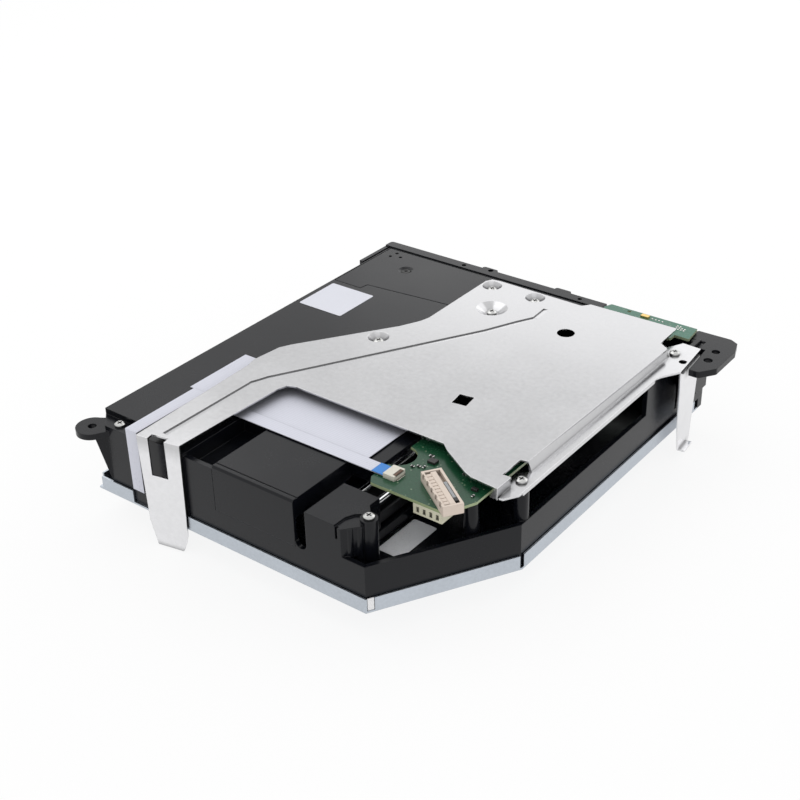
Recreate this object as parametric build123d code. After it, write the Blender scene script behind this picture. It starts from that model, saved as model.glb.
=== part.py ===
"""Slot-loading optical drive of a game console, lying on its sheet-metal cover.

Millimetres. The origin is on the disc axis, at the cover's outer face. +X points to the
right, +Y towards the disc slot, and +Z from the cover towards the shield bracket.
"""
from build123d import *
import os
from math import atan2, cos, degrees, hypot, pi, radians, sin

# Plan outline of the body
HALF_WIDTH = 82.5
FRONT_Y = -98.0
REAR_Y = 92.0
CHAMFER_X = 52.1
CHAMFER_Y = -45.5

# Cover: galvanised sheet with a turned-up flange
SHEET = 0.8
FLANGE_H = 6.0
FLANGE_GAP = (-62.9, -32.9)
CORNER_GAP = 3.5
COVER_GAP = 0.2
BEAD = 0.4

# Main chassis: moulded tray, its floor over the disc chamber
WALL = 2.0
FLOOR_Z = 8.5
FLOOR_T = 1.5
LOW_WALL_TOP = 19.0
DECK_TOP = 33.5
DECK_T = 1.8
EAR_CHAMFER = 6.5
EAR_HOLE_R = 1.75

# Shield bracket: zinc-plated sheet
SHIELD_TOP = 38.0
LIP_TOP = 34.0
SHIELD_EDGE_X = HALF_WIDTH - 6.0
LIP_X = HALF_WIDTH - 0.2
LEFT_LEG_BOTTOM = -10.5
RIGHT_LEG_BOTTOM = -6.2
FOOT_DROP = 1.9
SCREW_SEAT = 2.6
JOGGLE = 0.45
JOGGLE_RUN = 2.5

# Circuit boards and ribbon cables
BOARD_TOP = 34.0
BOARD_T = 1.2
RIBBON_T = 0.3
RIBBON_TOP = 34.2
RIBBON_W = 24.0
NARROW_RIBBON_W = 6.0

# Disc plane, turntable and clamp
DISC_Z = 5.4
DISC_HOLE_R = 7.5
TURNTABLE_R = 15.0
TURNTABLE_T = 2.0
SPINDLE_R = 1.5
PUCK_R = 15.0
FIT = 0.06

# Laser deck: a metal frame on rubber dampers in a plastic lift frame
HINGE_Y = -88.0
HINGE_Z = 13.0
LIFT_ANGLE = 3.5
FRAME_X = (-40.5, 39.5)
FRAME_Y = (-92.0, 30.0)
FRAME_Z = (11.0, 15.0)
FRAME_BAR = 5.5
DECK_PLATE_Z = 16.0
DECK_PLATE_T = 1.5
DECK_PLATE_X = (-36.0, 37.5)
DECK_PLATE_Y = (-84.0, 24.0)
PICKUP_SLOT = (-20.0, 20.0, -78.0, -15.0)
DAMPER_R = 4.0
DAMPER_NECK_R = 2.5
ROD_R = 1.5
ROD_X = (-27.0, 23.5)
ROD_Z = 20.5
LEAD_X = 33.0
LEAD_Z = 21.0
LEAD_R = 1.5
LENS_Y = -23.0
PIN_Y = 20.0
PIN_R = 1.5
CAM_TRAVEL = 12.0
CAM_X = (-47.5, -44.7)
RACK_GAP = 0.4
HINGE_PIN_R = 2.0

# Loading drive: spur gears on axes along X, behind the left wall
MODULE = 0.6
ROLLER_YZ = (76.0, 10.4)
MOTOR_YZ = (52.5, 19.5)
CAM_GEAR_ANGLE = 185.0
ROLLER_TEETH = 24
IDLER_TEETH = 28
PINION_TEETH = 12
CAM_TEETH = 24
GEAR_X = (-HALF_WIDTH + 9.5, -HALF_WIDTH + 12.5)
ROLLER_END_R = 4.4
ROLLER_MID_R = 3.4
ROLLER_SHAFT_R = 1.5
BUSH_R = 3.0
BUSH_X = (65.5, 68.5)
MOTOR_R = 8.0
AXLE_R = 1.0

# Slot bezel
BEZEL_T = 5.0
BEZEL_TOP = 34.0
SLOT_HALF = 62.0
SLOT_Z = (1.6, 7.6)

# Screws
SCREW_HEAD_R = 2.1
SCREW_HEAD_T = 1.4
SCREW_R = 1.2
THREAD_R = 0.95

INNER = 1.0


def box(x0, x1, y0, y1, z0, z1):
    """Upright block between two corners"""
    centre = ((x0 + x1) / 2, (y0 + y1) / 2, (z0 + z1) / 2)
    return Pos(*centre) * Box(abs(x1 - x0), abs(y1 - y0), abs(z1 - z0))


def cyl(x, y, z0, z1, r):
    """Upright cylinder"""
    return Pos(x, y, (z0 + z1) / 2) * Cylinder(r, z1 - z0)


def cone(x, y, z0, z1, r0, r1):
    """Upright cone, r0 at z0 and r1 at z1"""
    return Pos(x, y, (z0 + z1) / 2) * Cone(r0, r1, z1 - z0)


def rod_x(x0, x1, y, z, r):
    """Cylinder along X"""
    return Pos((x0 + x1) / 2, y, z) * Rot(0, 90, 0) * Cylinder(r, x1 - x0)


def rod_y(x, y0, y1, z, r):
    """Cylinder along Y"""
    return Pos(x, (y0 + y1) / 2, z) * Rot(90, 0, 0) * Cylinder(r, y1 - y0)


def prism(points, z0, z1):
    """Straight-sided block over a plan outline"""
    face = make_face(Polyline(*[(x, y) for x, y in points], close=True))
    return Pos(0, 0, z0) * extrude(face, z1 - z0)


def side_prism(points, x0, x1):
    """Block over an outline in the YZ plane, between two values of X"""
    face = make_face(Polyline(*[(y, z) for y, z in points], close=True))
    return extrude(Plane.YZ.offset(x0) * face, x1 - x0)


def front_prism(points, y0, y1):
    """Block over an outline in the XZ plane, between two values of Y"""
    face = make_face(Polyline(*[(x, z) for x, z in points], close=True))
    return extrude(Plane.XZ.offset(-y1) * face, y1 - y0)


def fuse(first, *others):
    """Union of several solids"""
    whole = first
    for other in others:
        whole = whole + other
    return whole


def round_upright(solid, radius, near=None, reach=1.0):
    """Fillets the upright edges, or only those within reach of the plan points in near"""
    edges = solid.edges().filter_by(Axis.Z)
    if near is not None:
        edges = [e for e in edges
                 if any(hypot(e.center().X - x, e.center().Y - y) < reach for x, y in near)]
    return fillet(edges, radius)


def body_outline(inset, rear_y=REAR_Y, ear_cut=0.0):
    """Plan outline of the body, moved inwards by inset, with its front right corner cut off"""
    run_x = HALF_WIDTH - CHAMFER_X
    run_y = CHAMFER_Y - FRONT_Y
    length = hypot(run_x, run_y)
    normal = (-run_y / length, run_x / length)
    left = -HALF_WIDTH + inset
    right = HALF_WIDTH - inset
    front = FRONT_Y + inset
    t_front = inset * (1 - normal[1]) / run_y
    t_right = (-inset - inset * normal[0]) / run_x + 1.0
    chamfer_start = CHAMFER_X + inset * normal[0] + t_front * run_x
    chamfer_end = FRONT_Y + inset * normal[1] + t_right * run_y
    points = [(chamfer_start, front), (right, chamfer_end), (right, rear_y), (left, rear_y)]
    if ear_cut > 0:
        return points + [(left, front + ear_cut), (left + ear_cut, front)]
    return points + [(left, front)]


CHASSIS_Z = SHEET
FLOOR_TOP = FLOOR_Z + FLOOR_T
DECK_UNDER = DECK_TOP - DECK_T
SHIELD_UNDER = SHIELD_TOP - SHEET
LIP_UNDER = LIP_TOP - SHEET
BOARD_UNDER = BOARD_TOP - BOARD_T
CHASSIS_FRONT = FRONT_Y + INNER
CHASSIS_LEFT = -HALF_WIDTH + INNER
CHASSIS_RIGHT = HALF_WIDTH - INNER

# Screws that hold the shield: plan places, and the height that each head seats on
SHIELD_DIMPLES = ((-25.0, 10.0, 4.6), (-1.0, 58.5, 6.8), (-13.2, 77.0, 4.4), (8.8, 77.6, 4.4))
DISH_FLAT = 2.7
TAB_SCREWS = ((HALF_WIDTH - 4.2, -41.0), (HALF_WIDTH - 3.7, 73.0))
DIMPLE_SEAT = SHIELD_TOP - SCREW_SEAT
CORNER_SCREW = (-70.2, -93.6)
BUMP_SCREW = (46.3, -87.2)
LID_SCREW = (-60.2, 75.8)
LID_GAP = 0.45

# Pickup cover: the box over the outer end of the pickup's travel
BAY_X = (-18.4, 20.1)
BAY_Y = (FRONT_Y + INNER, -64.0)
BAY_Z = (14.5, 34.0)
BAY_WALL = 1.5
BAY_SIDE_Z = 26.0

# Bump over the sled motor, right of the pickup cover
BUMP_X = (25.4, 41.4)
BUMP_REAR = -75.0
BUMP_TOP = 31.5


def make_top_cover():
    """Folded sheet cover: plate, flanges with open corners, and pressed beads"""
    cover = prism(body_outline(0.0), 0, SHEET)
    tray = prism(body_outline(0.0), 0, FLANGE_H) - prism(body_outline(SHEET), -1, FLANGE_H + 1)
    tray = tray - box(*FLANGE_GAP, FRONT_Y - 1, FRONT_Y + 2, SHEET, FLANGE_H + 1)
    tray = tray - box(-HALF_WIDTH - 1, HALF_WIDTH + 1, REAR_Y - 3, REAR_Y + 1, SHEET, FLANGE_H + 1)
    run = (HALF_WIDTH - CHAMFER_X, CHAMFER_Y - FRONT_Y)
    angle = degrees(atan2(run[1], run[0]))
    turn = Pos(CHAMFER_X, FRONT_Y, 0) * Rot(0, 0, angle)
    tray = tray - turn * box(0.6, CORNER_GAP, -2, 3, SHEET, FLANGE_H + 1)
    end = Pos(HALF_WIDTH, CHAMFER_Y, 0) * Rot(0, 0, angle)
    tray = tray - end * box(-0.9, 0.9, -2, 3, SHEET, FLANGE_H + 1)
    tray = tray - box(-HALF_WIDTH - 1, -HALF_WIDTH + 2, FRONT_Y - 1, FRONT_Y + 2.2, SHEET, FLANGE_H + 1)
    cover = cover + tray
    ring_out = cyl(0, 0, -1, BEAD, 27) - cyl(0, 0, -1, BEAD, 23.5)
    ring_in = cyl(0, 0, SHEET, SHEET + BEAD, 26.6) - cyl(0, 0, SHEET, SHEET + BEAD, 23.9)
    cover = cover - ring_out + ring_in
    for sign in (-1, 1):
        bead_x = sign * 50
        groove = box(bead_x - 2.2, bead_x + 2.2, -60, 55, -1, BEAD)
        ridge = box(bead_x - 1.8, bead_x + 1.8, -59.6, 54.6, SHEET, SHEET + BEAD)
        cover = cover - round_upright(groove, 2.0) + round_upright(ridge, 1.6)
    return cover


def deck_outline():
    """Plan outline of the raised deck: the left side, the band behind the pickup cover, the rear"""
    left = CHASSIS_LEFT
    front = CHASSIS_FRONT
    return [(left, front + EAR_CHAMFER), (left + EAR_CHAMFER, front), (-33.0, front), (-33.0, BAY_Y[1]),
            (31.0, BAY_Y[1]), (31.0, -36.0), (-34.0, -36.0), (-34.0, -10.0), (-20.0, 20.0),
            (2.0, 50.0), (16.0, 62.0), (33.0, 80.0), (33.0, REAR_Y), (left, REAR_Y)]


def deck_inside():
    """Plan outline of the hollow under the deck, between its outer walls"""
    left = CHASSIS_LEFT + WALL
    front = CHASSIS_FRONT + WALL
    return [(left, front + EAR_CHAMFER - 1), (left + EAR_CHAMFER - 1, front), (-35.0, front), (-35.0, -62.0),
            (31.5, -62.0), (31.5, -35.0), (-33.0, -35.0), (-33.0, -10.0), (-19.0, 20.0),
            (3.0, 49.0), (17.0, 61.0), (34.0, 79.0), (34.0, REAR_Y - WALL), (left, REAR_Y - WALL)]


def chassis_shell():
    """Tray with a floor, low outer walls, and the raised deck with its own walls"""
    outer = prism(body_outline(INNER, ear_cut=EAR_CHAMFER), CHASSIS_Z, LOW_WALL_TOP)
    below = prism(body_outline(INNER + WALL, REAR_Y - WALL, EAR_CHAMFER - 1), CHASSIS_Z - 1, FLOOR_Z)
    above = prism(body_outline(INNER + WALL, REAR_Y - WALL, EAR_CHAMFER - 1), FLOOR_TOP, LOW_WALL_TOP + 1)
    shell = outer - below - above
    deck = prism(deck_outline(), LOW_WALL_TOP - 0.5, DECK_TOP)
    deck = deck - prism(deck_inside(), LOW_WALL_TOP - 1, DECK_UNDER)
    inner_wall = box(-33.0, 35.0, BAY_Y[1], -62.0, LOW_WALL_TOP - 1, 26.8)
    pocket_side = box(-35.0, -33.0, CHASSIS_FRONT + WALL, -61.0, LOW_WALL_TOP - 1, 25.6)
    shell = shell + (deck - inner_wall - pocket_side)
    pocket_floor = box(-35.0, BAY_X[0] - 0.2, CHASSIS_FRONT, -62.0, 25.6, 27.0)
    pocket_front = box(-35.0, BAY_X[0] - 0.2, CHASSIS_FRONT, CHASSIS_FRONT + WALL, LOW_WALL_TOP - 0.5, 32.6)
    side_wall = box(CHASSIS_RIGHT - WALL, CHASSIS_RIGHT, 46.0, REAR_Y, LOW_WALL_TOP - 0.5, LIP_UNDER)
    rear_wall = box(32.0, CHASSIS_RIGHT, REAR_Y - WALL, REAR_Y, LOW_WALL_TOP - 0.5, LIP_UNDER - 1.0)
    return fuse(shell, pocket_floor, pocket_front, side_wall, rear_wall)


def chassis_bump():
    """Hood over the sled motor, with an arc step, a screw boss and rounded columns"""
    right = BUMP_X[1] + 4.6
    front = CHASSIS_FRONT
    plan = [(BUMP_X[0], front), (BUMP_X[1], front), (right, front + 5.5), (right, -85.6), (BUMP_X[1], -80.6),
            (BUMP_X[1], BUMP_REAR), (BUMP_X[0], BUMP_REAR)]
    inside = [(BUMP_X[0] + 1.5, front + WALL), (BUMP_X[1] - 0.8, front + WALL), (right - 1.6, front + 7.0),
              (right - 1.6, -86.4), (BUMP_X[1] - 1.5, -81.6), (BUMP_X[1] - 1.5, BUMP_REAR + 1),
              (BUMP_X[0] + 1.5, BUMP_REAR + 1)]
    hood = prism(plan, LOW_WALL_TOP - 0.5, BUMP_TOP) - prism(inside, LOW_WALL_TOP - 1, BUMP_TOP - 1.5)
    lower = [(38.65, front - 1), (38.9, -91.0), (40.5, -87.7), (42.4, -86.3), (60.0, -86.1), (60.0, front - 1)]
    hood = hood - prism(lower, BUMP_TOP - 0.8, BUMP_TOP + 1)
    slit = box(BUMP_X[1] - 2.4, BUMP_X[1] - 1.4, front - 1, front + 1.2, 26.0, BUMP_TOP + 1)
    clip_room = box(BUMP_X[0] - 1, BUMP_X[0] + 1.6, -84.0, -76.0, LOW_WALL_TOP - 1, ROD_Z + 3.6)
    hood = hood - slit - clip_room
    boss = cyl(*BUMP_SCREW, FLOOR_TOP - 0.5, BUMP_TOP + 0.5, 3.2)
    column_top = BUMP_TOP - 1.0
    columns = fuse(cyl(43.0, front + 3.1, FLOOR_TOP - 0.5, column_top, 1.3),
                   cyl(45.1, front + 5.8, FLOOR_TOP - 0.5, column_top, 1.3))
    return fuse(hood, boss, columns)


def chassis_ear():
    """Screw ear at the front left corner, with the rib under it"""
    ear_x = -HALF_WIDTH + 1.0
    ear_y = FRONT_Y
    ear_z = (26.5, 29.0)
    root = [(ear_x - 4.6, ear_y + 4.6), (ear_x + 4.6, ear_y - 4.6), (ear_x + 8.5, ear_y + 1.5), (ear_x + 1.5, ear_y + 8.5)]
    tab = cyl(ear_x, ear_y, *ear_z, 6.5) + prism(root, *ear_z)
    rib_run = Pos(ear_x + 4.5, ear_y + 4.5, 0) * Rot(0, 0, 45)
    rib = front_prism([(0, 7.0), (-1.2, 7.0), (-5.6, ear_z[0] + 0.2), (0, ear_z[0] + 0.2)], -4.4, 4.4)
    rib = rib_run * rib - cyl(ear_x, ear_y, 0, ear_z[0], EAR_HOLE_R + 1.6)
    return fuse(tab, rib) - cyl(ear_x, ear_y, ear_z[0] - 0.5, ear_z[1] + 1, EAR_HOLE_R)


def make_main_chassis():
    """Moulded black chassis: tray, deck, hood, bosses, ribs, sockets and bearing blocks"""
    body = chassis_shell() + chassis_bump() + chassis_ear()
    # window for the laser deck, and the trough of the feed roller
    body = body - box(FRAME_X[0] - 0.7, FRAME_X[1] + 0.7, FRAME_Y[0] - 0.6, FRAME_Y[1] + 2.0, FLOOR_Z - 1, FLOOR_TOP + 1)
    body = body - box(-BUSH_X[0] + 0.2, BUSH_X[0] - 0.2, ROLLER_YZ[0] - 6, ROLLER_YZ[0] + 6, FLOOR_Z - 1, FLOOR_TOP + 1)
    body = body - box(GEAR_X[0] - 1.2, GEAR_X[1] + 0.8, ROLLER_YZ[0] - 9, ROLLER_YZ[0] + 9, FLOOR_Z - 1, FLOOR_TOP + 1)
    # disc slot through the rear wall
    body = body - box(-SLOT_HALF, SLOT_HALF, REAR_Y - 5, REAR_Y + 1, CHASSIS_Z - 1, SLOT_Z[1])
    # pocket for the corner screw, and the wide slot where the ribbon goes back in
    body = body - box(CHASSIS_LEFT - 1, -62.0, CHASSIS_FRONT - 1, -90.5, 31.0, DECK_TOP + 1)
    pocket_floor = prism([(CHASSIS_LEFT, CHASSIS_FRONT + EAR_CHAMFER), (CHASSIS_LEFT + EAR_CHAMFER, CHASSIS_FRONT),
                          (-61.0, CHASSIS_FRONT), (-61.0, -89.0), (CHASSIS_LEFT, -89.0)], 29.4, 31.0)
    pocket_back = box(CHASSIS_LEFT, -61.0, -90.5, -89.0, 29.4, DECK_TOP)
    pocket_side = box(-62.0, -60.6, CHASSIS_FRONT, -89.0, 29.4, DECK_TOP)
    body = fuse(body, pocket_floor, pocket_back, pocket_side)
    body = body - box(NARROW_LEFT - 1, NARROW_LEFT + NARROW_RIBBON_W + 1, CHASSIS_FRONT - 1, CHASSIS_FRONT + WALL + 1,
                      TUCK_Z - 0.6, FLOOR_Z)
    # slot in the deck where the wide cable goes down
    body = body - box(WIDE_LEFT - 0.6, WIDE_LEFT + RIBBON_W + 0.6, DECK_SLOT_Y - 1.0, DECK_SLOT_Y + 0.7,
                      DECK_UNDER - 1, DECK_TOP + 1)
    # slot with a round bottom between the pickup cover and the hood
    slot_x = (BAY_X[1] + 0.2, BUMP_X[0])
    slot_mid = sum(slot_x) / 2
    slot_r = (slot_x[1] - slot_x[0]) / 2
    body = body - box(*slot_x, CHASSIS_FRONT - 1, CHASSIS_FRONT + WALL + 1, 14.6 + slot_r, 40)
    body = body - rod_y(slot_mid, CHASSIS_FRONT - 1, CHASSIS_FRONT + WALL + 1, 14.6 + slot_r, slot_r)
    # seat of the pickup cover in the front wall
    body = body - box(BAY_X[0] - 0.2, BAY_X[1] + 0.2, CHASSIS_FRONT - 1, CHASSIS_FRONT + WALL + 0.5, BAY_Z[0], 40)
    body = body - box(BAY_X[0] - 0.2, BAY_X[1] + 0.2, CHASSIS_FRONT + WALL - 1, BAY_Y[1] - 0.1, LOW_WALL_TOP - 1, 24.5)
    # bosses under the shield's screws
    for x, y, r in SHIELD_DIMPLES:
        body = body + cyl(x, y, DECK_UNDER - 4, DIMPLE_SEAT - SHEET, 3.4)
    for x, y in TAB_SCREWS:
        body = body + cyl(x, y, FLOOR_TOP - 0.5, LIP_UNDER, 3.0)
    # posts under the main board
    for x, y in BOARD_POSTS:
        body = body + cone(x, y, FLOOR_TOP - 0.5, BOARD_UNDER, 3.4, 2.6)
    # long ribs under the deck
    for y in (-70.0, -20.0, 10.0):
        body = body + box(CHASSIS_LEFT + WALL - 0.5, -52.0, y - 0.8, y + 0.8, FLOOR_TOP - 0.5, DECK_UNDER + 0.5)
    bridge = box(LID_SCREW[0] - 1.5, LID_SCREW[0] + 1.5, 64.0, REAR_Y - 1, FLOOR_TOP - 0.5, DECK_UNDER)
    bridge = bridge - rod_x(LID_SCREW[0] - 3, LID_SCREW[0] + 3, *ROLLER_YZ, ROLLER_END_R + 1.6)
    bridge = bridge - box(LID_SCREW[0] - 3, LID_SCREW[0] + 3, ROLLER_YZ[0] - 6, ROLLER_YZ[0] + 6, 0, ROLLER_YZ[1])
    body = body + bridge + cyl(*LID_SCREW, DECK_UNDER - 8, DECK_UNDER, 3.0)
    # slide channel of the cam slider
    body = body + box(CAM_X[0] - 2.0, CAM_X[0] - 0.3, -18.0, 34.0, FLOOR_TOP - 0.5, 15.0)
    # sockets of the lift frame's hinge pins
    for x0, x1 in ((FRAME_X[0] - 3.9, FRAME_X[0] - 0.7), (FRAME_X[1] + 0.7, FRAME_X[1] + 3.9)):
        socket = box(x0, x1, HINGE_Y - 3.5, HINGE_Y + 3.5, FLOOR_TOP - 0.5, HINGE_Z + 4.0)
        socket = socket - rod_x(x0 - 1, x1 + 1, HINGE_Y, HINGE_Z, HINGE_PIN_R + FIT)
        body = body + socket
    # bearing blocks of the roller
    for sign in (-1, 1):
        x0, x1 = sorted((sign * (BUSH_X[0] - 0.2), sign * (BUSH_X[1] + 0.2)))
        block = box(x0, x1, ROLLER_YZ[0] - 5, ROLLER_YZ[0] + 5, ROLLER_YZ[1] - 5, ROLLER_YZ[1] + 5)
        foot = box(x0, x1, ROLLER_YZ[0] - 9.5, ROLLER_YZ[0] + 9.5, FLOOR_Z, FLOOR_TOP)
        body = body + block + foot - rod_x(x0 - 1, x1 + 1, *ROLLER_YZ, BUSH_R + 0.02)
    # axle seats of the gears, and the wall that carries the loading motor
    for y, z in (IDLER_YZ, CAM_YZ):
        seat = rod_x(CHASSIS_LEFT + 0.5, GEAR_X[0] - 0.8, y, z, 2.6)
        body = body + seat - rod_x(CHASSIS_LEFT + 0.4, GEAR_X[0], y, z, AXLE_R + 0.02)
    end_wall = box(-43.9, -42.3, CAM_YZ[0] - 3.5, CAM_YZ[0] + 3.5, FLOOR_TOP - 0.5, CAM_YZ[1] + 3)
    body = body + end_wall - rod_x(-45, -41, *CAM_YZ, AXLE_R + 0.02)
    motor_wall = box(-67.4, -65.6, MOTOR_YZ[0] - 5.5, MOTOR_YZ[0] + 9.5, FLOOR_TOP - 0.5, MOTOR_YZ[1] + 9.5)
    body = body + motor_wall - rod_x(-69, -64, *MOTOR_YZ, 3.2)
    body = body + box(-66.0, -49.0, MOTOR_YZ[0] - 2, MOTOR_YZ[0] + 2, FLOOR_TOP - 0.5, MOTOR_YZ[1] - MOTOR_R - 0.1)
    # opening under the lid of the loading drive
    body = body - prism(lid_outline(2.0), DECK_UNDER - 0.1, DECK_TOP + 1)
    body = body - prism(lid_outline(-LID_GAP), DECK_TOP - 1.2, DECK_TOP + 1)
    body = body + cyl(*LID_SCREW, DECK_UNDER - 8, DECK_TOP - 1.5, 3.0)
    # pilot holes of the screws
    for x, y, r in SHIELD_DIMPLES:
        body = body - pilot(x, y, DIMPLE_SEAT - SHEET)
    for x, y in TAB_SCREWS:
        body = body - pilot(x, y, LIP_UNDER)
    for x, y in BOARD_SCREWS:
        body = body - pilot(x, y, BOARD_UNDER)
    body = body - pilot(*BUMP_SCREW, BUMP_TOP + 0.5) - pilot(*LID_SCREW, DECK_TOP) - pilot(*CORNER_SCREW, 31.0)
    return body


def pilot(x, y, top, depth=6.0):
    """Pilot hole that a screw's thread fills"""
    return cyl(x, y, top - depth, top + 1, THREAD_R + 0.02)


def lid_outline(inset):
    """Plan outline of the lid over the loading drive, at the rear left"""
    left = CHASSIS_LEFT + 1.0 + inset
    rear = REAR_Y - 1.0 - inset
    front = 49.2 + inset
    return [(left, front), (-66.0 - inset, front), (-65.4 - inset, front + 4.4), (-23.0 - inset, front + 8.8),
            (-19.5 - inset, front + 9.2), (-19.5 - inset, rear), (left, rear)]


def make_loading_cover():
    """Flush lid over the loading motor and gears, with the countersunk screw well"""
    lid = prism(lid_outline(0.0), DECK_TOP - 1.1, DECK_TOP)
    well = cyl(*LID_SCREW, DECK_TOP - 1.4, DECK_TOP - 1.0, 4.2)
    lid = lid + well
    lid = lid - cone(*LID_SCREW, DECK_TOP - 1.45, DECK_TOP - 0.55, 1.3, 2.35) - cyl(*LID_SCREW, 20, 40, SCREW_R)
    lid = lid - cone(*LID_SCREW, DECK_TOP - 0.56, DECK_TOP + 0.05, 2.35, 3.6)
    for x, y in ((-75.4, 83.8), (-74.6, 88.0), (-70.6, 85.4)):
        lid = lid - cyl(x, y, 20, 40, 0.8)
    return lid


def make_pickup_cover():
    """Box over the outer end of the pickup's travel, open below"""
    x0, x1 = BAY_X
    y0, y1 = BAY_Y
    y1 = y1 - 0.2
    shell = box(x0, x1, y0, y1, BAY_SIDE_Z, BAY_Z[1]) + box(x0, x1, y0, y0 + BAY_WALL, *BAY_Z)
    bevel = shell.edges().filter_by(Axis.X).group_by(Axis.Z)[-1].sort_by(Axis.Y)[0]
    shell = chamfer(bevel, 0.8)
    hollow = box(x0 + BAY_WALL, x1 - BAY_WALL, y0 + BAY_WALL, y1 + 1, BAY_Z[0] - 1, BAY_Z[1] - BAY_WALL)
    step = box(x0 - 1, x1 + 1, y0 + 2.2, y0 + 2.8, BAY_Z[1] - 0.35, BAY_Z[1] + 1)
    return shell - hollow - step


def shield_plan():
    """Plan outline of the shield's flat top"""
    return [(-51.4, -101.5), (-32.7, -98.0), (-31.6, -64.0), (-30.7, -46.0), (-29.4, -42.4), (-26.0, -41.0),
            (45.0, -41.5), (48.6, -44.4), (62.0, -52.4), (65.4, -53.8), (76.9, -54.6), (SHIELD_EDGE_X, -45.9),
            (73.6, -46.2), (73.6, -34.5), (SHIELD_EDGE_X, -34.0), (SHIELD_EDGE_X + 1.0, 68.5), (72.9, 71.6),
            (72.4, 86.6), (32.0, 85.6), (29.4, 82.2), (-13.0, 82.8), (-16.6, 82.2), (-18.2, 79.2), (-18.0, 36.0),
            (-19.2, 31.4), (-23.5, 22.8), (-50.4, -16.0), (-52.8, -20.6), (-54.4, -34.0), (-53.2, -39.0)]


def left_leg():
    """Long leg folded down over the front wall, with its window at the fold"""
    right = (-32.7, -98.0)
    left = (-51.4, -101.5)
    width = hypot(right[0] - left[0], right[1] - left[1])
    angle = degrees(atan2(right[1] - left[1], right[0] - left[0]))
    low = LEFT_LEG_BOTTOM
    outline = [(0.0, SHIELD_TOP), (1.4, 0.0), (3.9, low), (15.4, low), (16.9, low + 3.5),
               (width - 1.0, -3.0), (width - 0.6, 6.0), (width, SHIELD_TOP)]
    leg = front_prism(outline, -SHEET, 0)
    leg = leg - box(5.0, 12.4, -2, 2, 21.5, SHIELD_TOP + 1)
    return Pos(left[0], left[1], 0) * Rot(0, 0, angle) * leg


def right_leg():
    """Leg folded down at the rear right, narrowing to a foot that is turned outwards"""
    front = (HALF_WIDTH + 5.2, 61.2)
    rear = (HALF_WIDTH + 3.0, 83.0)
    width = hypot(rear[0] - front[0], rear[1] - front[1])
    angle = degrees(atan2(rear[1] - front[1], rear[0] - front[0]))
    low = RIGHT_LEG_BOTTOM
    outline = [(0, LIP_TOP), (3.3, 4.0), (5.6, low), (16.5, low - FOOT_DROP), (17.4, low + 0.6), (width, LIP_TOP)]
    leg = front_prism(outline, 0, SHEET)
    flange = box(6.4, 14.6, -2.4, SHEET, low - 0.7, low + 0.1)
    return Pos(front[0], front[1], 0) * Rot(0, 0, angle) * (leg + flange)


def make_shield_bracket():
    """Folded shield: flat top with a lowered side lip, two screw tabs and two legs"""
    plate = prism(shield_plan(), SHIELD_UNDER, SHIELD_TOP)
    # side ramp and lip, the lip with its turned-down edge
    front_y = -54.2
    ramp = front_prism([(SHIELD_EDGE_X - SHEET, SHIELD_TOP), (SHIELD_EDGE_X, SHIELD_TOP), (SHIELD_EDGE_X + 1.6, LIP_TOP),
                        (SHIELD_EDGE_X + 1.6, LIP_UNDER), (SHIELD_EDGE_X + 0.6, LIP_UNDER)], -33.8, 69.6)
    lip_plan = [(SHIELD_EDGE_X + 1.0, front_y), (LIP_X - 3.3, front_y + 0.4), (LIP_X, -48.5), (LIP_X, 51.0),
                (LIP_X + 0.9, 53.6), (LIP_X + 5.4, 61.2), (LIP_X + 3.2, 83.0), (77.4, 83.4), (73.6, 76.0), (73.6, 69.6), (SHIELD_EDGE_X, 69.0),
                (SHIELD_EDGE_X, -33.9), (73.8, -35.0), (73.8, -45.6), (SHIELD_EDGE_X, -46.4)]
    lip = prism(lip_plan, LIP_UNDER, LIP_TOP)
    hem = box(LIP_X - SHEET, LIP_X, -46.0, 50.0, LIP_UNDER - 1.0, LIP_TOP)
    link_front = front_prism([(73.8, LIP_UNDER), (SHIELD_EDGE_X + 0.6, LIP_UNDER), (SHIELD_EDGE_X + 0.6, SHIELD_TOP),
                              (SHIELD_EDGE_X - SHEET, SHIELD_TOP)], -54.6, -46.0)
    shield = fuse(plate, lip, ramp, hem, link_front)
    # dished screw seats
    for x, y, r in SHIELD_DIMPLES:
        shield = shield - cone(x, y, DIMPLE_SEAT, SHIELD_TOP + 0.01, DISH_FLAT, r)
        shield = shield + (cone(x, y, DIMPLE_SEAT - SHEET, SHIELD_UNDER + 0.01, DISH_FLAT + 0.5, r + 0.4)
                           - cone(x, y, DIMPLE_SEAT, SHIELD_TOP, DISH_FLAT, r))
        shield = shield - cyl(x, y, LIP_UNDER - 3, SHIELD_TOP + 1, SCREW_R + 0.3)
    for x, y in TAB_SCREWS:
        shield = shield - cyl(x, y, LIP_UNDER - 1, LIP_TOP + 1, SCREW_R + 0.3)
    # round and square gauge holes, and the free hole in the rear tab
    shield = shield - cyl(36.8, 57.0, 30, 40, 3.7)
    shield = shield - Pos(33.1, -12.1, SHIELD_TOP) * Rot(0, 0, 8) * Box(6.2, 7.2, 4)
    shield = shield - cyl(*TAB_HOLE, 30, 40, TAB_HOLE_R)
    # window across the left fold
    fold = Pos(-51.4, -101.5, SHIELD_TOP) * Rot(0, 0, 10.6)
    shield = shield - fold * box(5.0, 12.4, -0.5, 2.2, -2, 1)
    # pressed joggle line from the arm to the rear
    line = groove_line()
    shield = shield - line
    return fuse(shield, left_leg(), right_leg())


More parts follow.
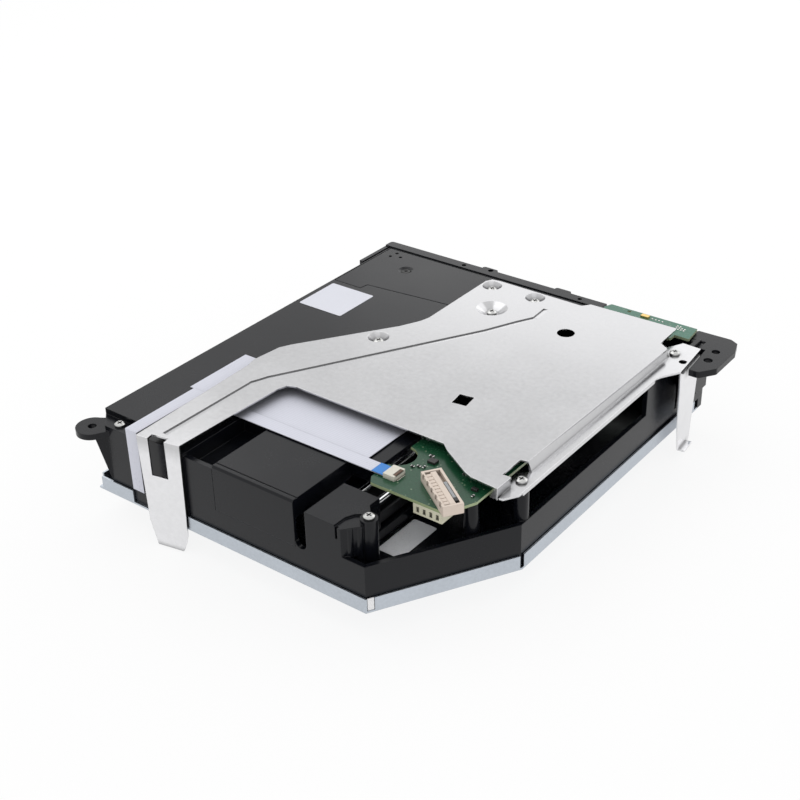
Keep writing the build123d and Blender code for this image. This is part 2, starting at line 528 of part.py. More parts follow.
def groove_line():
    """Pressed line along the arm and across the plate, steep on its left side"""
    points = [(-44.2, -95.0), (-43.4, -48.0), (-40.6, -41.0), (7.2, 40.0), (14.0, 54.3), (17.9, 61.5), (17.4, 70.3)]
    section = [(0.0, -JOGGLE), (0.0, JOGGLE), (-2 * JOGGLE_RUN, JOGGLE)]
    whole = None
    for (x0, y0), (x1, y1) in zip(points, points[1:]):
        run = hypot(x1 - x0, y1 - y0)
        angle = degrees(atan2(y1 - y0, x1 - x0))
        piece = Pos(x0, y0, SHIELD_TOP) * Rot(0, 0, angle) * side_prism(section, -JOGGLE, run + JOGGLE)
        whole = piece if whole is None else whole + piece
    return whole


TAB_HOLE = (HALF_WIDTH + 2.1, 69.0)
TAB_HOLE_R = 1.7
BOARD_POSTS = ((46.5, -46.5), (68.0, -57.0), (50.0, 14.0), (66.0, -29.0))
BOARD_SCREWS = BOARD_POSTS[2:]


def board_plan():
    """Plan outline of the main board before its round notch"""
    return [(35.1, -72.0), (67.2, -72.0), (72.6, -60.4), (72.6, 20.0), (2.0, 20.0), (2.0, 4.0), (36.0, 4.0),
            (36.0, -38.0), (33.0, -38.0), (33.0, -60.6), (33.0, -69.0)]


def make_main_board():
    """Green control board with its round notch and fixing holes"""
    board = prism(board_plan(), BOARD_UNDER, BOARD_TOP)
    board = board - cyl(32.6, -52.2, BOARD_UNDER - 1, BOARD_TOP + 1, 6.9)
    for x, y in BOARD_SCREWS:
        board = board - cyl(x, y, BOARD_UNDER - 1, BOARD_TOP + 1, 1.3)
    return board


def make_board_parts():
    """Chips and coils on the main board, the tall ones under the shield"""
    parts = []
    for x, y, w, d, h in ((50.0, -20.0, 14.0, 14.0, 1.2), (60.0, -1.0, 10.0, 8.0, 1.1), (55.0, -33.0, 8.0, 6.0, 1.4),
                          (40.0, 12.0, 7.0, 7.0, 1.5), (24.0, 12.0, 9.0, 5.0, 1.2)):
        parts.append(box(x - w / 2, x + w / 2, y - d / 2, y + d / 2, BOARD_TOP, BOARD_TOP + h))
    return parts


def socket_shell(length, depth, height, wall):
    """Open-topped connector housing, centred on the origin, with a row of cavities"""
    shell = Pos(0, 0, height / 2) * Box(length, depth, height)
    shell = shell - Pos(0, 0, height) * Box(length - 2 * wall, depth - 2 * wall, height)
    return shell


def make_small_cable_socket():
    """Socket of the narrow ribbon"""
    socket = Pos(0, 0, 1.0) * Box(5.0, 6.6, 2.0)
    socket = socket - Pos(-1.6, 0, 0.7) * Box(3.0, 6.1, 0.7)
    socket = socket - Pos(1.9, 0, 2.0) * Box(1.6, 4.6, 1.4)
    return Pos(SMALL_SOCKET_X + 2.5, NARROW_Y, BOARD_TOP) * socket


def make_large_cable_socket():
    """Upright socket of the main harness, turned on the board"""
    socket = socket_shell(23.4, 7.7, 4.0, 1.0)
    socket = socket + Pos(0, 0.6, 1.4) * Box(20.0, 1.6, 2.4)
    for k in range(5):
        x = -8.8 + 4.4 * k
        socket = socket - Pos(x, -3.9, 3.2) * Box(1.8, 0.9, 1.8)
    return Pos(61.0, -64.8, BOARD_TOP) * Rot(0, 0, -35) * socket


def make_motor_socket():
    """Through-hole socket of the motor lead, hanging from the board's front edge"""
    socket = Pos(59.9, -68.25, BOARD_UNDER - 4.3) * socket_shell(12.3, 7.5, 4.3, 0.9)
    for k in range(4):
        x = 59.9 - 4.2 + 2.8 * k
        socket = socket - box(x - 0.6, x + 0.6, -72.6, -71.0, BOARD_UNDER - 3.4, BOARD_UNDER - 1.2)
    return socket


NARROW_Y = -63.9
NARROW_LEFT = -62.4
TUCK_Z = 7.2
WIDE_LEFT = -65.0
WIDE_Y = -60.4
DECK_SLOT_Y = -28.0
SMALL_SOCKET_X = 36.9


def make_board_cable():
    """Narrow ribbon: up the front wall, over the deck, and across to the small socket"""
    low = BOARD_TOP + 0.4
    top = low + RIBBON_T
    left = NARROW_LEFT
    right = left + NARROW_RIBBON_W
    y0 = CHASSIS_FRONT - 0.5 - RIBBON_T
    across = box(left, SMALL_SOCKET_X + 1.0, NARROW_Y - NARROW_RIBBON_W / 2, NARROW_Y + NARROW_RIBBON_W / 2, low, top)
    along = box(left, right, y0, NARROW_Y, low, top)
    down = box(left, right, y0, y0 + RIBBON_T, TUCK_Z, top)
    inward = box(left, right, y0, CHASSIS_FRONT + 6, TUCK_Z, TUCK_Z + RIBBON_T)
    return fuse(across, along, down, inward)


def make_cable_stiffener():
    """Blue pull tab on the end of the narrow ribbon"""
    return box(SMALL_SOCKET_X - 5.4, SMALL_SOCKET_X - 0.2, NARROW_Y - NARROW_RIBBON_W / 2, NARROW_Y + NARROW_RIBBON_W / 2,
               BOARD_TOP + 0.4 + RIBBON_T, BOARD_TOP + 0.6 + RIBBON_T)


def make_pickup_cable():
    """Wide flat cable from the socket under the shield, across the deck and down through its slot"""
    top = RIBBON_TOP
    low = RIBBON_TOP - RIBBON_T
    left = WIDE_LEFT
    cross = box(left, 25.0, WIDE_Y, WIDE_Y + RIBBON_W, low, top)
    turn = box(left, left + RIBBON_W, WIDE_Y, DECK_SLOT_Y, low, top)
    dip = box(left, left + RIBBON_W, DECK_SLOT_Y - RIBBON_T, DECK_SLOT_Y, 27.0, top)
    tail = box(25.0 - RIBBON_W, 25.0, WIDE_Y, 1.0, low, top)
    return fuse(cross, turn, dip, tail)


def make_ribbon_socket():
    """Low socket under the shield that takes the wide cable"""
    x0 = 25.0 - RIBBON_W - 1.0
    upper = box(x0, 26.0, 1.0, 7.0, BOARD_TOP, BOARD_TOP + 1.6)
    return upper + box(x0, 26.0, 1.0, 3.9, BOARD_TOP - 0.6, BOARD_TOP + 1.6)


def make_rear_board():
    """Small green board at the rear right, over the slot"""
    board = prism([(34.0, 84.0), (34.0, 94.6), (35.4, 98.0), (76.4, 98.0), (77.6, 87.8), (71.0, 87.8), (71.0, 84.0)],
                  BOARD_UNDER, BOARD_TOP)
    return board - cyl(45.1, 96.2, 30, 40, 0.9)


def make_rear_board_parts():
    """Gold contact block and the slot sensor under the rear board"""
    contact = box(51.4, 55.0, 94.4, 96.4, BOARD_TOP, BOARD_TOP + 0.8)
    return [contact, box(60.0, 66.0, 86.5, 90.0, BOARD_UNDER - 4.0, BOARD_UNDER)]


def label(x0, x1, y0, y1, z, thick=0.12):
    """Thin label with rounded corners"""
    return round_upright(box(x0, x1, y0, y1, z, z + thick), 0.9)


def make_slot_bezel():
    """Rear frame with the disc slot, the side returns and the right screw ear"""
    y0 = REAR_Y + 0.05
    y1 = REAR_Y + BEZEL_T
    left = -HALF_WIDTH - 2.0
    frame = box(left, HALF_WIDTH, y0, y1, 0.2, BEZEL_TOP)
    frame = frame - box(33.6, HALF_WIDTH + 1, y0 - 1, y1 + 1, LIP_UNDER - 1.0, BEZEL_TOP + 1)
    frame = round_upright(frame, 1.6, ((left, y1), (HALF_WIDTH, y1)))
    mouth = box(-SLOT_HALF, SLOT_HALF, y0 - 1, y1 + 1, *SLOT_Z)
    flare = side_prism([(y1 - 2.0, SLOT_Z[0]), (y1 + 0.1, SLOT_Z[0] - 1.2), (y1 + 0.1, SLOT_Z[1] + 1.4),
                        (y1 - 2.0, SLOT_Z[1])], -SLOT_HALF, SLOT_HALF)
    frame = frame - mouth - flare
    # weight-saving pockets above the slot
    for k in range(6):
        x = -66.0 + 22.0 * k
        frame = frame - box(x, x + 17.0, y1 - 1.6, y1 + 1, 14.0, 27.0)
    left_side = box(left, -HALF_WIDTH - 0.15, 72.0, y0 + 1, FLANGE_H + 0.4, BEZEL_TOP - 0.5)
    right_side = box(HALF_WIDTH - 0.85, HALF_WIDTH + 0.9, 84.0, y0 + 1, FLANGE_H + 0.4, LIP_UNDER - 1.4)
    # two latch bumps on the top edge
    for x in (-28.0, 11.0):
        bump = box(x - 4.0, x + 4.0, y1 - 1, y1 + 1.6, BEZEL_TOP - 3.4, BEZEL_TOP)
        frame = frame + round_upright(bump, 1.2, ((x - 4.0, y1 + 1.6), (x + 4.0, y1 + 1.6)))
    frame = frame - cyl(-27.0, y1 - 0.6, 28, 40, 1.3) - cyl(-40.5, 94.4, 28, 40, 1.1) - cyl(21.4, 94.4, 28, 40, 1.0)
    # screw ear
    ear_top = LIP_UNDER - 0.9
    ear_plan = [(72.0, 96.0), (74.6, y1), (76.4, 100.0), (91.0, 100.4), (94.6, 98.4), (96.8, 92.0), (97.0, 74.4),
                (92.2, 67.6), (83.4, 67.6), (83.4, 92.5), (72.0, 92.5)]
    ear = round_upright(prism(ear_plan, ear_top - 2.8, ear_top), 2.0, ((91.0, 100.4), (97.0, 74.4), (92.2, 67.6)))
    ear = ear - cyl(*EAR_HOLES[0], 20, 40, EAR_HOLE_R) - cyl(*EAR_HOLES[1], 20, 40, EAR_PEG_R)
    gusset = side_prism([(84.5, 12.0), (84.5, ear_top - 2.6), (68.0, ear_top - 2.6), (70.0, 22.0)], 83.4, 84.9)
    # the ear stays clear of the shield's leg
    leg_room = Pos(HALF_WIDTH + 5.2, 61.2, 0) * Rot(0, 0, 95.8) * box(-3, 25, -1.0, 1.4, 0, 60)
    cheek = box(HALF_WIDTH - 0.85, 84.9, 84.0, y0 + 1, 12.0, ear_top - 2.6)
    return fuse(frame, left_side, right_side, cheek, gusset, ear - leg_room)


EAR_HOLES = ((90.4, 87.0), (91.0, 78.8))
EAR_PEG_R = 1.9


def make_slot_felts():
    """Two felt strips that line the slot against dust"""
    y = REAR_Y - WALL - 0.6
    lower = box(-SLOT_HALF, SLOT_HALF, y - 3.0, y, SHEET, SHEET + 0.4)
    upper = box(-SLOT_HALF, SLOT_HALF, y - 3.0, y, FLOOR_Z - 0.5, FLOOR_Z)
    return [lower, upper]


def screw(x, y, seat, length, up=True):
    """Pan-head screw standing on its seat, with a cross recess"""
    head = cyl(x, y, seat, seat + SCREW_HEAD_T - 0.5, SCREW_HEAD_R)
    head = head + cone(x, y, seat + SCREW_HEAD_T - 0.5, seat + SCREW_HEAD_T, SCREW_HEAD_R, SCREW_HEAD_R - 0.7)
    recess = Pos(x, y, seat + SCREW_HEAD_T) * (Box(2.2, 0.55, 1.2) + Box(0.55, 2.2, 1.2))
    return head - recess + cyl(x, y, seat - length, seat, THREAD_R)


def make_shield_screws():
    """Screws through the dished seats and the two side tabs"""
    screws = [screw(x, y, DIMPLE_SEAT, 4.0) for x, y, r in SHIELD_DIMPLES]
    return screws + [screw(x, y, LIP_TOP, 4.0) for x, y in TAB_SCREWS]


def make_chassis_screws():
    """Corner screw in its pocket, and the screw on the hood"""
    return [screw(*CORNER_SCREW, 31.0, 1.5), screw(*BUMP_SCREW, BUMP_TOP + 0.5, 4.0)]


def make_lid_screw():
    """Black countersunk screw of the loading cover"""
    head = cone(*LID_SCREW, DECK_TOP - 1.3, DECK_TOP - 0.6, 1.2, 2.1)
    recess = Pos(*LID_SCREW, DECK_TOP - 0.7) * (Box(2.0, 0.5, 0.8) + Box(0.5, 2.0, 0.8))
    return head - recess + cyl(*LID_SCREW, DECK_TOP - 5.5, DECK_TOP - 1.2, THREAD_R)


def make_lift_frame():
    """Plastic frame that carries the laser deck, hinged at the front"""
    x0, x1 = FRAME_X
    y0, y1 = FRAME_Y
    z0, z1 = FRAME_Z
    ring = round_upright(box(x0, x1, y0, y1, z0, z1), 3.0)
    hole = box(x0 + FRAME_BAR, x1 - FRAME_BAR, y0 + FRAME_BAR, y1 - FRAME_BAR, z0 - 1, z1 + 1)
    ring = ring - round_upright(hole, 3.0)
    for x, y in DAMPERS:
        ring = ring + cyl(x, y, z0, z1, DAMPER_R + 0.6)
        ring = ring - cyl(x, y, z0 + 1.0, z1 + 1, THREAD_R + 0.02)
    ring = ring - box(LEAD_X - 6.6, x1 + 1, y0 - 1, -79.0, z1 - 0.9, z1 + 3)
    pins = rod_x(x0 - 3.4, x0 + 1, HINGE_Y, HINGE_Z, HINGE_PIN_R)
    pins = pins + rod_x(x1 - 1, x1 + 3.4, HINGE_Y, HINGE_Z, HINGE_PIN_R)
    cam_pin = rod_x(CAM_X[0] + 0.3, x0 + 1, PIN_Y, HINGE_Z, PIN_R)
    return fuse(ring, pins, cam_pin)


DAMPERS = ((-33.4, -83.0), (17.0, -83.0), (-32.0, 20.0), (33.0, 20.0))


def make_laser_deck():
    """Pressed metal deck that holds the spindle motor, the rods and the sled motor"""
    x0, x1 = DECK_PLATE_X
    y0, y1 = DECK_PLATE_Y
    z0 = DECK_PLATE_Z
    z1 = z0 + DECK_PLATE_T
    plate = round_upright(box(x0, x1, y0 - 3.0, y1, z0, z1), 3.0)
    plate = plate - box(24.5, x1 + 1, y0 - 4, -78.4, z0 - 1, z1 + 1)
    slot = box(PICKUP_SLOT[0], PICKUP_SLOT[1], PICKUP_SLOT[2], PICKUP_SLOT[3], z0 - 1, z1 + 1)
    plate = plate - round_upright(slot, 2.0) - cyl(0, 0, z0 - 1, z1 + 1, 9.0)
    flange = box(x0, x0 + 1.0, y0 + 8, y1 - 12, z0, z1 + 2.5) + box(x1 - 1.0, x1, y0 + 12, y1 - 12, z0, z1 + 2.5)
    plate = plate + flange
    # rod clips
    for x in ROD_X:
        for y in (-81.5, -17.0):
            clip = box(x - 2.2, x + 2.2, y, y + 3.0, z1 - 0.2, ROD_Z + 2.2)
            plate = plate + clip - rod_y(x, y - 1, y + 4, ROD_Z, ROD_R + 0.02)
    # bent tabs for the sled motor and the far end of its screw
    motor_tab = box(LEAD_X - 6.0, x1, -79.4, -78.4, z0, LEAD_Z + 5.5)
    end_tab = box(LEAD_X - 3.0, LEAD_X + 3.0, -14.0, -12.8, z1 - 0.2, LEAD_Z + 3.0)
    plate = plate + motor_tab + end_tab
    plate = plate + box(LEAD_X - 6.0, x1, -79.0, -76.0, z0, z1)
    plate = plate - rod_y(LEAD_X, -80, -78, LEAD_Z, 2.4) - rod_y(LEAD_X, -15, -12, LEAD_Z, LEAD_R + FIT)
    for x, y in DAMPERS:
        plate = plate - cyl(x, y, z0 - 1, z1 + 1, DAMPER_NECK_R + 0.02)
    for x, y in ((-24.0, 4.0), (26.0, -6.0), (10.0, 16.0)):
        plate = plate - cyl(x, y, z0 - 1, z1 + 1, 1.6)
    return plate


def make_dampers():
    """Rubber grommets between the deck and the lift frame"""
    parts = []
    for x, y in DAMPERS:
        low = cyl(x, y, FRAME_Z[1], DECK_PLATE_Z, DAMPER_R)
        neck = cyl(x, y, DECK_PLATE_Z - 0.2, DECK_PLATE_Z + DECK_PLATE_T + 0.2, DAMPER_NECK_R)
        high = cyl(x, y, DECK_PLATE_Z + DECK_PLATE_T, DECK_PLATE_Z + DECK_PLATE_T + 1.6, DAMPER_R)
        parts.append(fuse(low, neck, high) - cyl(x, y, 0, 40, 1.1))
    return parts


def make_damper_screws():
    """Shoulder screws through the grommets"""
    return [screw(x, y, DECK_PLATE_Z + DECK_PLATE_T + 1.6, 5.0) for x, y in DAMPERS]


def make_spindle_motor():
    """Flat motor under the deck plate, with its mounting plate"""
    can = cyl(0, 0, 8.6, DECK_PLATE_Z - 0.8, 12.5)
    can = can + cone(0, 0, 8.0, 8.6, 11.7, 12.5)
    base = round_upright(box(-14.0, 14.0, -13.0, 15.0, DECK_PLATE_Z - 1.0, DECK_PLATE_Z), 4.0)
    top = cyl(0, 0, DECK_PLATE_Z - 0.5, DECK_PLATE_Z + 3.0, 8.6)
    return fuse(can, base, top) - cyl(0, 0, 0, DECK_PLATE_Z + 1.6, SPINDLE_R + FIT)


def make_turntable():
    """Disc seat with its centring cone, on the motor's shaft"""
    seat = cyl(0, 0, DISC_Z, DISC_Z + TURNTABLE_T, TURNTABLE_R)
    seat = seat - (cyl(0, 0, DISC_Z - 1, DISC_Z + 0.3, 12.6) - cyl(0, 0, DISC_Z - 1, DISC_Z + 0.3, 8.6))
    hub = cone(0, 0, DISC_Z - 2.2, DISC_Z + 0.2, DISC_HOLE_R - 1.6, DISC_HOLE_R - 0.1)
    shaft = cyl(0, 0, DISC_Z + 1, DECK_PLATE_Z, SPINDLE_R)
    return fuse(seat, hub, shaft)


def make_turntable_pad():
    """Rubber friction ring set in the disc seat"""
    return cyl(0, 0, DISC_Z - 0.05, DISC_Z + 0.28, 12.4) - cyl(0, 0, DISC_Z - 1, DISC_Z + 1, 8.8)


def make_guide_rods():
    """Two polished rods for the pickup"""
    return [rod_y(x, -82.5, -13.5, ROD_Z, ROD_R) for x in ROD_X]


def make_pickup_carriage():
    """Die-cast pickup body with rod bearings, fork and nut arm"""
    y0 = LENS_Y - 13.0
    y1 = LENS_Y + 7.5
    body = box(-17.5, 17.5, y0, y1, 11.0, 22.5)
    body = chamfer(body.edges().filter_by(Axis.Z), 3.0)
    step = box(-12.0, 12.0, y0 + 2, y1 - 0.6, 9.0, 11.5)
    body = body + step
    body = body - cyl(0, LENS_Y, 8.0, 17.0, 7.2)
    left = box(ROD_X[0] - 3.2, -16.0, y0 + 2.5, y1 - 2.5, ROD_Z - 2.4, ROD_Z + 3.0)
    left = left - rod_y(ROD_X[0], y0, y1, ROD_Z, ROD_R + FIT)
    right = box(16.0, ROD_X[1] + 3.0, LENS_Y - 6.0, LENS_Y - 1.5, ROD_Z - 2.4, ROD_Z + 3.0)
    right = right - box(ROD_X[1] - 1.6, ROD_X[1] + 4, y0, y1, ROD_Z - ROD_R - FIT, ROD_Z + ROD_R + FIT)
    arm = box(ROD_X[1] + 1.6, LEAD_X + 0.6, LENS_Y - 6.0, LENS_Y - 1.5, ROD_Z + 1.8, ROD_Z + 3.6)
    arm = arm - rod_y(LEAD_X, y0, y1, LEAD_Z, LEAD_R + 0.35)
    cover = box(-13.0, 13.0, y0 + 1.5, y1 - 3.0, 22.4, 23.2)
    return fuse(body, left, right, arm, cover)


def make_lens_holder():
    """Moving lens holder with its coil block"""
    ring = cyl(0, LENS_Y, 9.4, 12.0, 4.2) + box(-5.0, 5.0, LENS_Y - 3.0, LENS_Y + 3.0, 10.0, 14.0)
    ears = box(-6.95, 6.95, LENS_Y - 1.4, LENS_Y + 1.4, 12.0, 14.0)
    return ring + ears - cyl(0, LENS_Y, 9.0, 15.0, 2.6)


def make_objective_lens():
    """Small dome lens in the holder"""
    rim = cyl(0, LENS_Y, 9.9, 10.9, 2.58)
    dome = Pos(0, LENS_Y, 12.6) * Sphere(3.2)
    return rim + (dome & cyl(0, LENS_Y, 9.5, 10.4, 2.2))


def make_sled_motor():
    """Stepper motor of the pickup's lead screw"""
    can = rod_y(LEAD_X, -91.4, -80.2, LEAD_Z, 6.0)
    plate = box(LEAD_X - 5.6, LEAD_X + 4.4, -80.4, -79.5, LEAD_Z - 4.6, LEAD_Z + 4.6)
    return can + plate - rod_y(LEAD_X, -86.0, -79.0, LEAD_Z, LEAD_R + FIT)


def make_lead_screw():
    """Lead screw, modelled at its outer size with its run-out grooves"""
    screw_rod = rod_y(LEAD_X, -85.5, -12.4, LEAD_Z, LEAD_R)
    core = rod_y(LEAD_X, -76.0, -74.8, LEAD_Z, LEAD_R + 1) - rod_y(LEAD_X, -77.0, -73.0, LEAD_Z, LEAD_R - 0.35)
    core_end = rod_y(LEAD_X, -17.2, -16.0, LEAD_Z, LEAD_R + 1) - rod_y(LEAD_X, -18.0, -15.0, LEAD_Z, LEAD_R - 0.35)
    return screw_rod - core - core_end


def cam_point(share):
    """Place of the lift frame's pin on the slider, at a share of the slider's travel"""
    reach = PIN_Y - HINGE_Y
    angle = radians(LIFT_ANGLE * share)
    return (HINGE_Y + reach * cos(angle) + CAM_TRAVEL * share, HINGE_Z + reach * sin(angle))


def make_cam_slider():
    """Slider with the sloping slot that lifts the frame, and its rack"""
    x0, x1 = CAM_X
    plate = box(x0, x1, -8.0, 34.6, FLOOR_TOP + 0.3, 24.0)
    slot_r = PIN_R + 0.25
    start = cam_point(0.0)
    end = cam_point(1.0)
    slope = degrees(atan2(end[1] - start[1], end[0] - start[0]))
    run = hypot(end[0] - start[0], end[1] - start[1])
    slot = rod_x(x0 - 1, x1 + 1, *start, slot_r) + rod_x(x0 - 1, x1 + 1, *end, slot_r)
    slot = slot + Pos(0, *start) * Rot(slope, 0, 0) * box(x0 - 1, x1 + 1, 0, run, -slot_r, slot_r)
    plate = plate - slot
    window = box(x0 - 1, x1 + 1, -4.0, 12.0, 15.0, 20.0)
    plate = plate - window
    pitch = pi * MODULE
    pitch_z = CAM_YZ[1] - MODULE * PINION_TEETH / 2
    root_z = pitch_z - 1.15 * MODULE
    tip_z = pitch_z + 0.9 * MODULE
    tip_r = MODULE * PINION_TEETH / 2 + 0.9 * MODULE
    rack_end = CAM_YZ[0] - (tip_r ** 2 - (CAM_YZ[1] - tip_z) ** 2) ** 0.5 - RACK_GAP
    plate = plate + box(x0, x1, 33.0, rack_end, FLOOR_TOP + 0.3, root_z)
    for k in range(2):
        y = rack_end - 0.62 - pitch * k
        tooth = [(y - 0.62, root_z - 0.1), (y - 0.26, tip_z), (y + 0.26, tip_z), (y + 0.62, root_z - 0.1)]
        plate = plate + side_prism(tooth, x0, x1)
    return plate


def spur_gear(teeth, phase, x0, x1, yz, bore):
    """Spur gear along X; phase is the angle of one tooth, from +Y towards +Z"""
    pitch_r = MODULE * teeth / 2
    root_r = pitch_r - 1.15 * MODULE
    tip_r = pitch_r + 0.9 * MODULE
    step = 2 * pi / teeth
    points = []
    for k in range(teeth):
        mid = radians(phase) + k * step
        for radius, offset in ((root_r, -0.30), (pitch_r, -0.205), (tip_r, -0.10), (tip_r, 0.10),
                               (pitch_r, 0.205), (root_r, 0.30)):
            angle = mid + offset * step
            points.append((yz[0] + radius * cos(angle), yz[1] + radius * sin(angle)))
    gear = side_prism(points, x0, x1)
    return gear - rod_x(x0 - 1, x1 + 1, *yz, bore)


def meshed_phase(teeth_a, phase_a, yz_a, teeth_b, yz_b):
    """Phase of gear b that puts one of its gaps on a tooth of gear a"""
    line = degrees(atan2(yz_b[1] - yz_a[1], yz_b[0] - yz_a[0]))
    return line + 180 + (teeth_a * (line - phase_a) - 180) / teeth_b


def idler_place():
    """Centre of the idler, in mesh with both the roller gear and the motor pinion"""
    r_motor = MODULE * (PINION_TEETH + IDLER_TEETH) / 2
    r_roller = MODULE * (ROLLER_TEETH + IDLER_TEETH) / 2
    dy = ROLLER_YZ[0] - MOTOR_YZ[0]
    dz = ROLLER_YZ[1] - MOTOR_YZ[1]
    gap = hypot(dy, dz)
    along = (gap ** 2 + r_motor ** 2 - r_roller ** 2) / (2 * gap)
    out = (r_motor ** 2 - along ** 2) ** 0.5
    return (MOTOR_YZ[0] + (along * dy - out * dz) / gap, MOTOR_YZ[1] + (along * dz + out * dy) / gap)


def cam_gear_place():
    """Centre of the cam gear, in mesh with the motor pinion"""
    reach = MODULE * (PINION_TEETH + CAM_TEETH) / 2
    angle = radians(CAM_GEAR_ANGLE)
    return (MOTOR_YZ[0] + reach * cos(angle), MOTOR_YZ[1] + reach * sin(angle))


IDLER_YZ = idler_place()
CAM_YZ = cam_gear_place()
ROLLER_PHASE = 0.0
IDLER_PHASE = meshed_phase(ROLLER_TEETH, ROLLER_PHASE, ROLLER_YZ, IDLER_TEETH, IDLER_YZ)
PINION_PHASE = meshed_phase(IDLER_TEETH, IDLER_PHASE, IDLER_YZ, PINION_TEETH, MOTOR_YZ)
CAM_PHASE = meshed_phase(PINION_TEETH, PINION_PHASE, MOTOR_YZ, CAM_TEETH, CAM_YZ)


def make_roller_gear():
    """Gear pressed on the roller's shaft"""
    return spur_gear(ROLLER_TEETH, ROLLER_PHASE, *GEAR_X, ROLLER_YZ, ROLLER_SHAFT_R)


def make_idler_gear():
    """Idler with a lightened web"""
    gear = spur_gear(IDLER_TEETH, IDLER_PHASE, *GEAR_X, IDLER_YZ, AXLE_R + FIT)
    for k in range(5):
        angle = radians(72 * k)
        gear = gear - rod_x(GEAR_X[0] - 1, GEAR_X[1] + 1, IDLER_YZ[0] + 4.6 * cos(angle), IDLER_YZ[1] + 4.6 * sin(angle), 1.5)
    return gear


def make_motor_pinion():
    """Brass pinion with the stub of the motor's shaft"""
    gear = spur_gear(PINION_TEETH, PINION_PHASE, *GEAR_X, MOTOR_YZ, 0.2)
    return gear + rod_x(GEAR_X[0] - 0.4, -64.0, *MOTOR_YZ, 0.75)


def make_cam_gear():
    """Moulded gear with the long sleeve and small pinion that reach the slider's rack"""
    gear = spur_gear(CAM_TEETH, CAM_PHASE, *GEAR_X, CAM_YZ, AXLE_R + FIT)
    sleeve = rod_x(GEAR_X[1] - 0.1, CAM_X[0] - 0.2, *CAM_YZ, 1.8) - rod_x(GEAR_X[1] - 1, CAM_X[1], *CAM_YZ, AXLE_R + FIT)
    small = spur_gear(PINION_TEETH, 10.0, CAM_X[0] - 0.3, CAM_X[1] + 0.3, CAM_YZ, AXLE_R + FIT)
    return fuse(gear, sleeve, small)


def make_gear_axles():
    """Steel axles of the idler and the cam gear"""
    x0 = CHASSIS_LEFT + 0.6
    return [rod_x(x0, GEAR_X[1] + 0.8, *IDLER_YZ, AXLE_R), rod_x(x0, -42.4, *CAM_YZ, AXLE_R)]


def make_loading_motor():
    """Small brushed motor with flats"""
    can = rod_x(-65.4, -49.2, *MOTOR_YZ, MOTOR_R)
    y, z = MOTOR_YZ
    for sign in (-1, 1):
        can = can - box(-70, -40, y + sign * 7.0, y + sign * 9.0, z - 10, z + 10)
    boss = rod_x(-67.0, -65.2, y, z, 3.0) + rod_x(-49.4, -48.4, y, z, 3.0)
    return can + boss - rod_x(-68.0, -63.0, y, z, 0.75 + FIT)


def make_roller_shaft():
    """Steel shaft of the feed roller"""
    return rod_x(GEAR_X[0] - 0.6, BUSH_X[1] + 1.0, *ROLLER_YZ, ROLLER_SHAFT_R)


def make_roller_sleeves():
    """Two rubber sleeves that taper towards the middle, so that only the disc's rim is touched"""
    sleeves = []
    for sign in (-1, 1):
        outer = 61.0
        inner = 2.0
        profile = [(inner, ROLLER_SHAFT_R), (inner, ROLLER_MID_R), (outer - 1.0, ROLLER_END_R), (outer, ROLLER_END_R - 0.8),
                   (outer, ROLLER_SHAFT_R)]
        face = make_face(Polyline(*[(sign * x, r) for x, r in profile], close=True))
        sleeve = revolve(face, Axis.X)
        sleeves.append(Pos(0, *ROLLER_YZ) * sleeve)
    return sleeves


def make_roller_bushes():
    """Bearing bushes of the roller"""
    bushes = []
    for sign in (-1, 1):
        x0, x1 = sorted((sign * BUSH_X[0], sign * BUSH_X[1]))
        bushes.append(rod_x(x0, x1, *ROLLER_YZ, BUSH_R) - rod_x(x0 - 1, x1 + 1, *ROLLER_YZ, ROLLER_SHAFT_R + FIT))
    return bushes


def make_clamp_ring():
    """Ring on the cover that keeps the clamp puck in place"""
    ring = cyl(0, 0, SHEET, 3.0, 20.0) - cyl(0, 0, SHEET - 1, 2.4, PUCK_R + 0.4) - cyl(0, 0, 0, 4, 13.4)
    for k in range(3):
        angle = radians(120 * k + 30)
        ring = ring + cyl(20.5 * cos(angle), 20.5 * sin(angle), SHEET, 2.4, 2.6)
    return ring


def make_clamp_puck():
    """Puck that presses the disc on the turntable"""
    puck = cyl(0, 0, 1.1, 2.1, PUCK_R) + cyl(0, 0, 2.0, 3.9, 12.6)
    puck = puck - cyl(0, 0, 2.7, 5.0, DISC_HOLE_R + 0.6) - cyl(0, 0, 0.5, 1.9, 6.02)
    return puck


def make_clamp_magnet():
    """Magnet set in the back of the puck"""
    return cyl(0, 0, 1.1, 1.9, 6.0)


def lever_places():
    """Side sign, pivot and tip of each disc lever"""
    return [(sign, (sign * 72.0, 34.0), (sign * 56.0, 58.0)) for sign in (-1, 1)]


def make_lever(sign, pivot, tip):
    """Disc lever: pivot eye, tapered arm and round post"""
    z0, z1 = 5.2, 6.8
    run = hypot(tip[0] - pivot[0], tip[1] - pivot[1])
    angle = degrees(atan2(tip[1] - pivot[1], tip[0] - pivot[0]))
    arm = prism([(0, -3.0), (run, -1.7), (run, 1.7), (0, 3.0)], z0, z1)
    lever = Pos(*pivot, 0) * Rot(0, 0, angle) * arm + cyl(*pivot, z0, z1, 3.6) + cyl(*tip, 2.0, z1, 1.9)
    return lever - cyl(*pivot, 0, 20, 1.5 + FIT)


def make_lever_pivots():
    """Shouldered pivot pins that hang from the chassis floor"""
    pins = []
    for sign, pivot, tip in lever_places():
        pins.append(cyl(*pivot, 4.4, FLOOR_Z, 1.5) + cyl(*pivot, 3.6, 4.8, 2.4))
    return pins


def make_lever_springs():
    """Torsion springs of the levers, drawn as their coils"""
    springs = []
    for sign, pivot, tip in lever_places():
        springs.append(cyl(*pivot, 7.1, 8.3, 3.0) - cyl(*pivot, 7.0, 8.4, 2.3))
    return springs


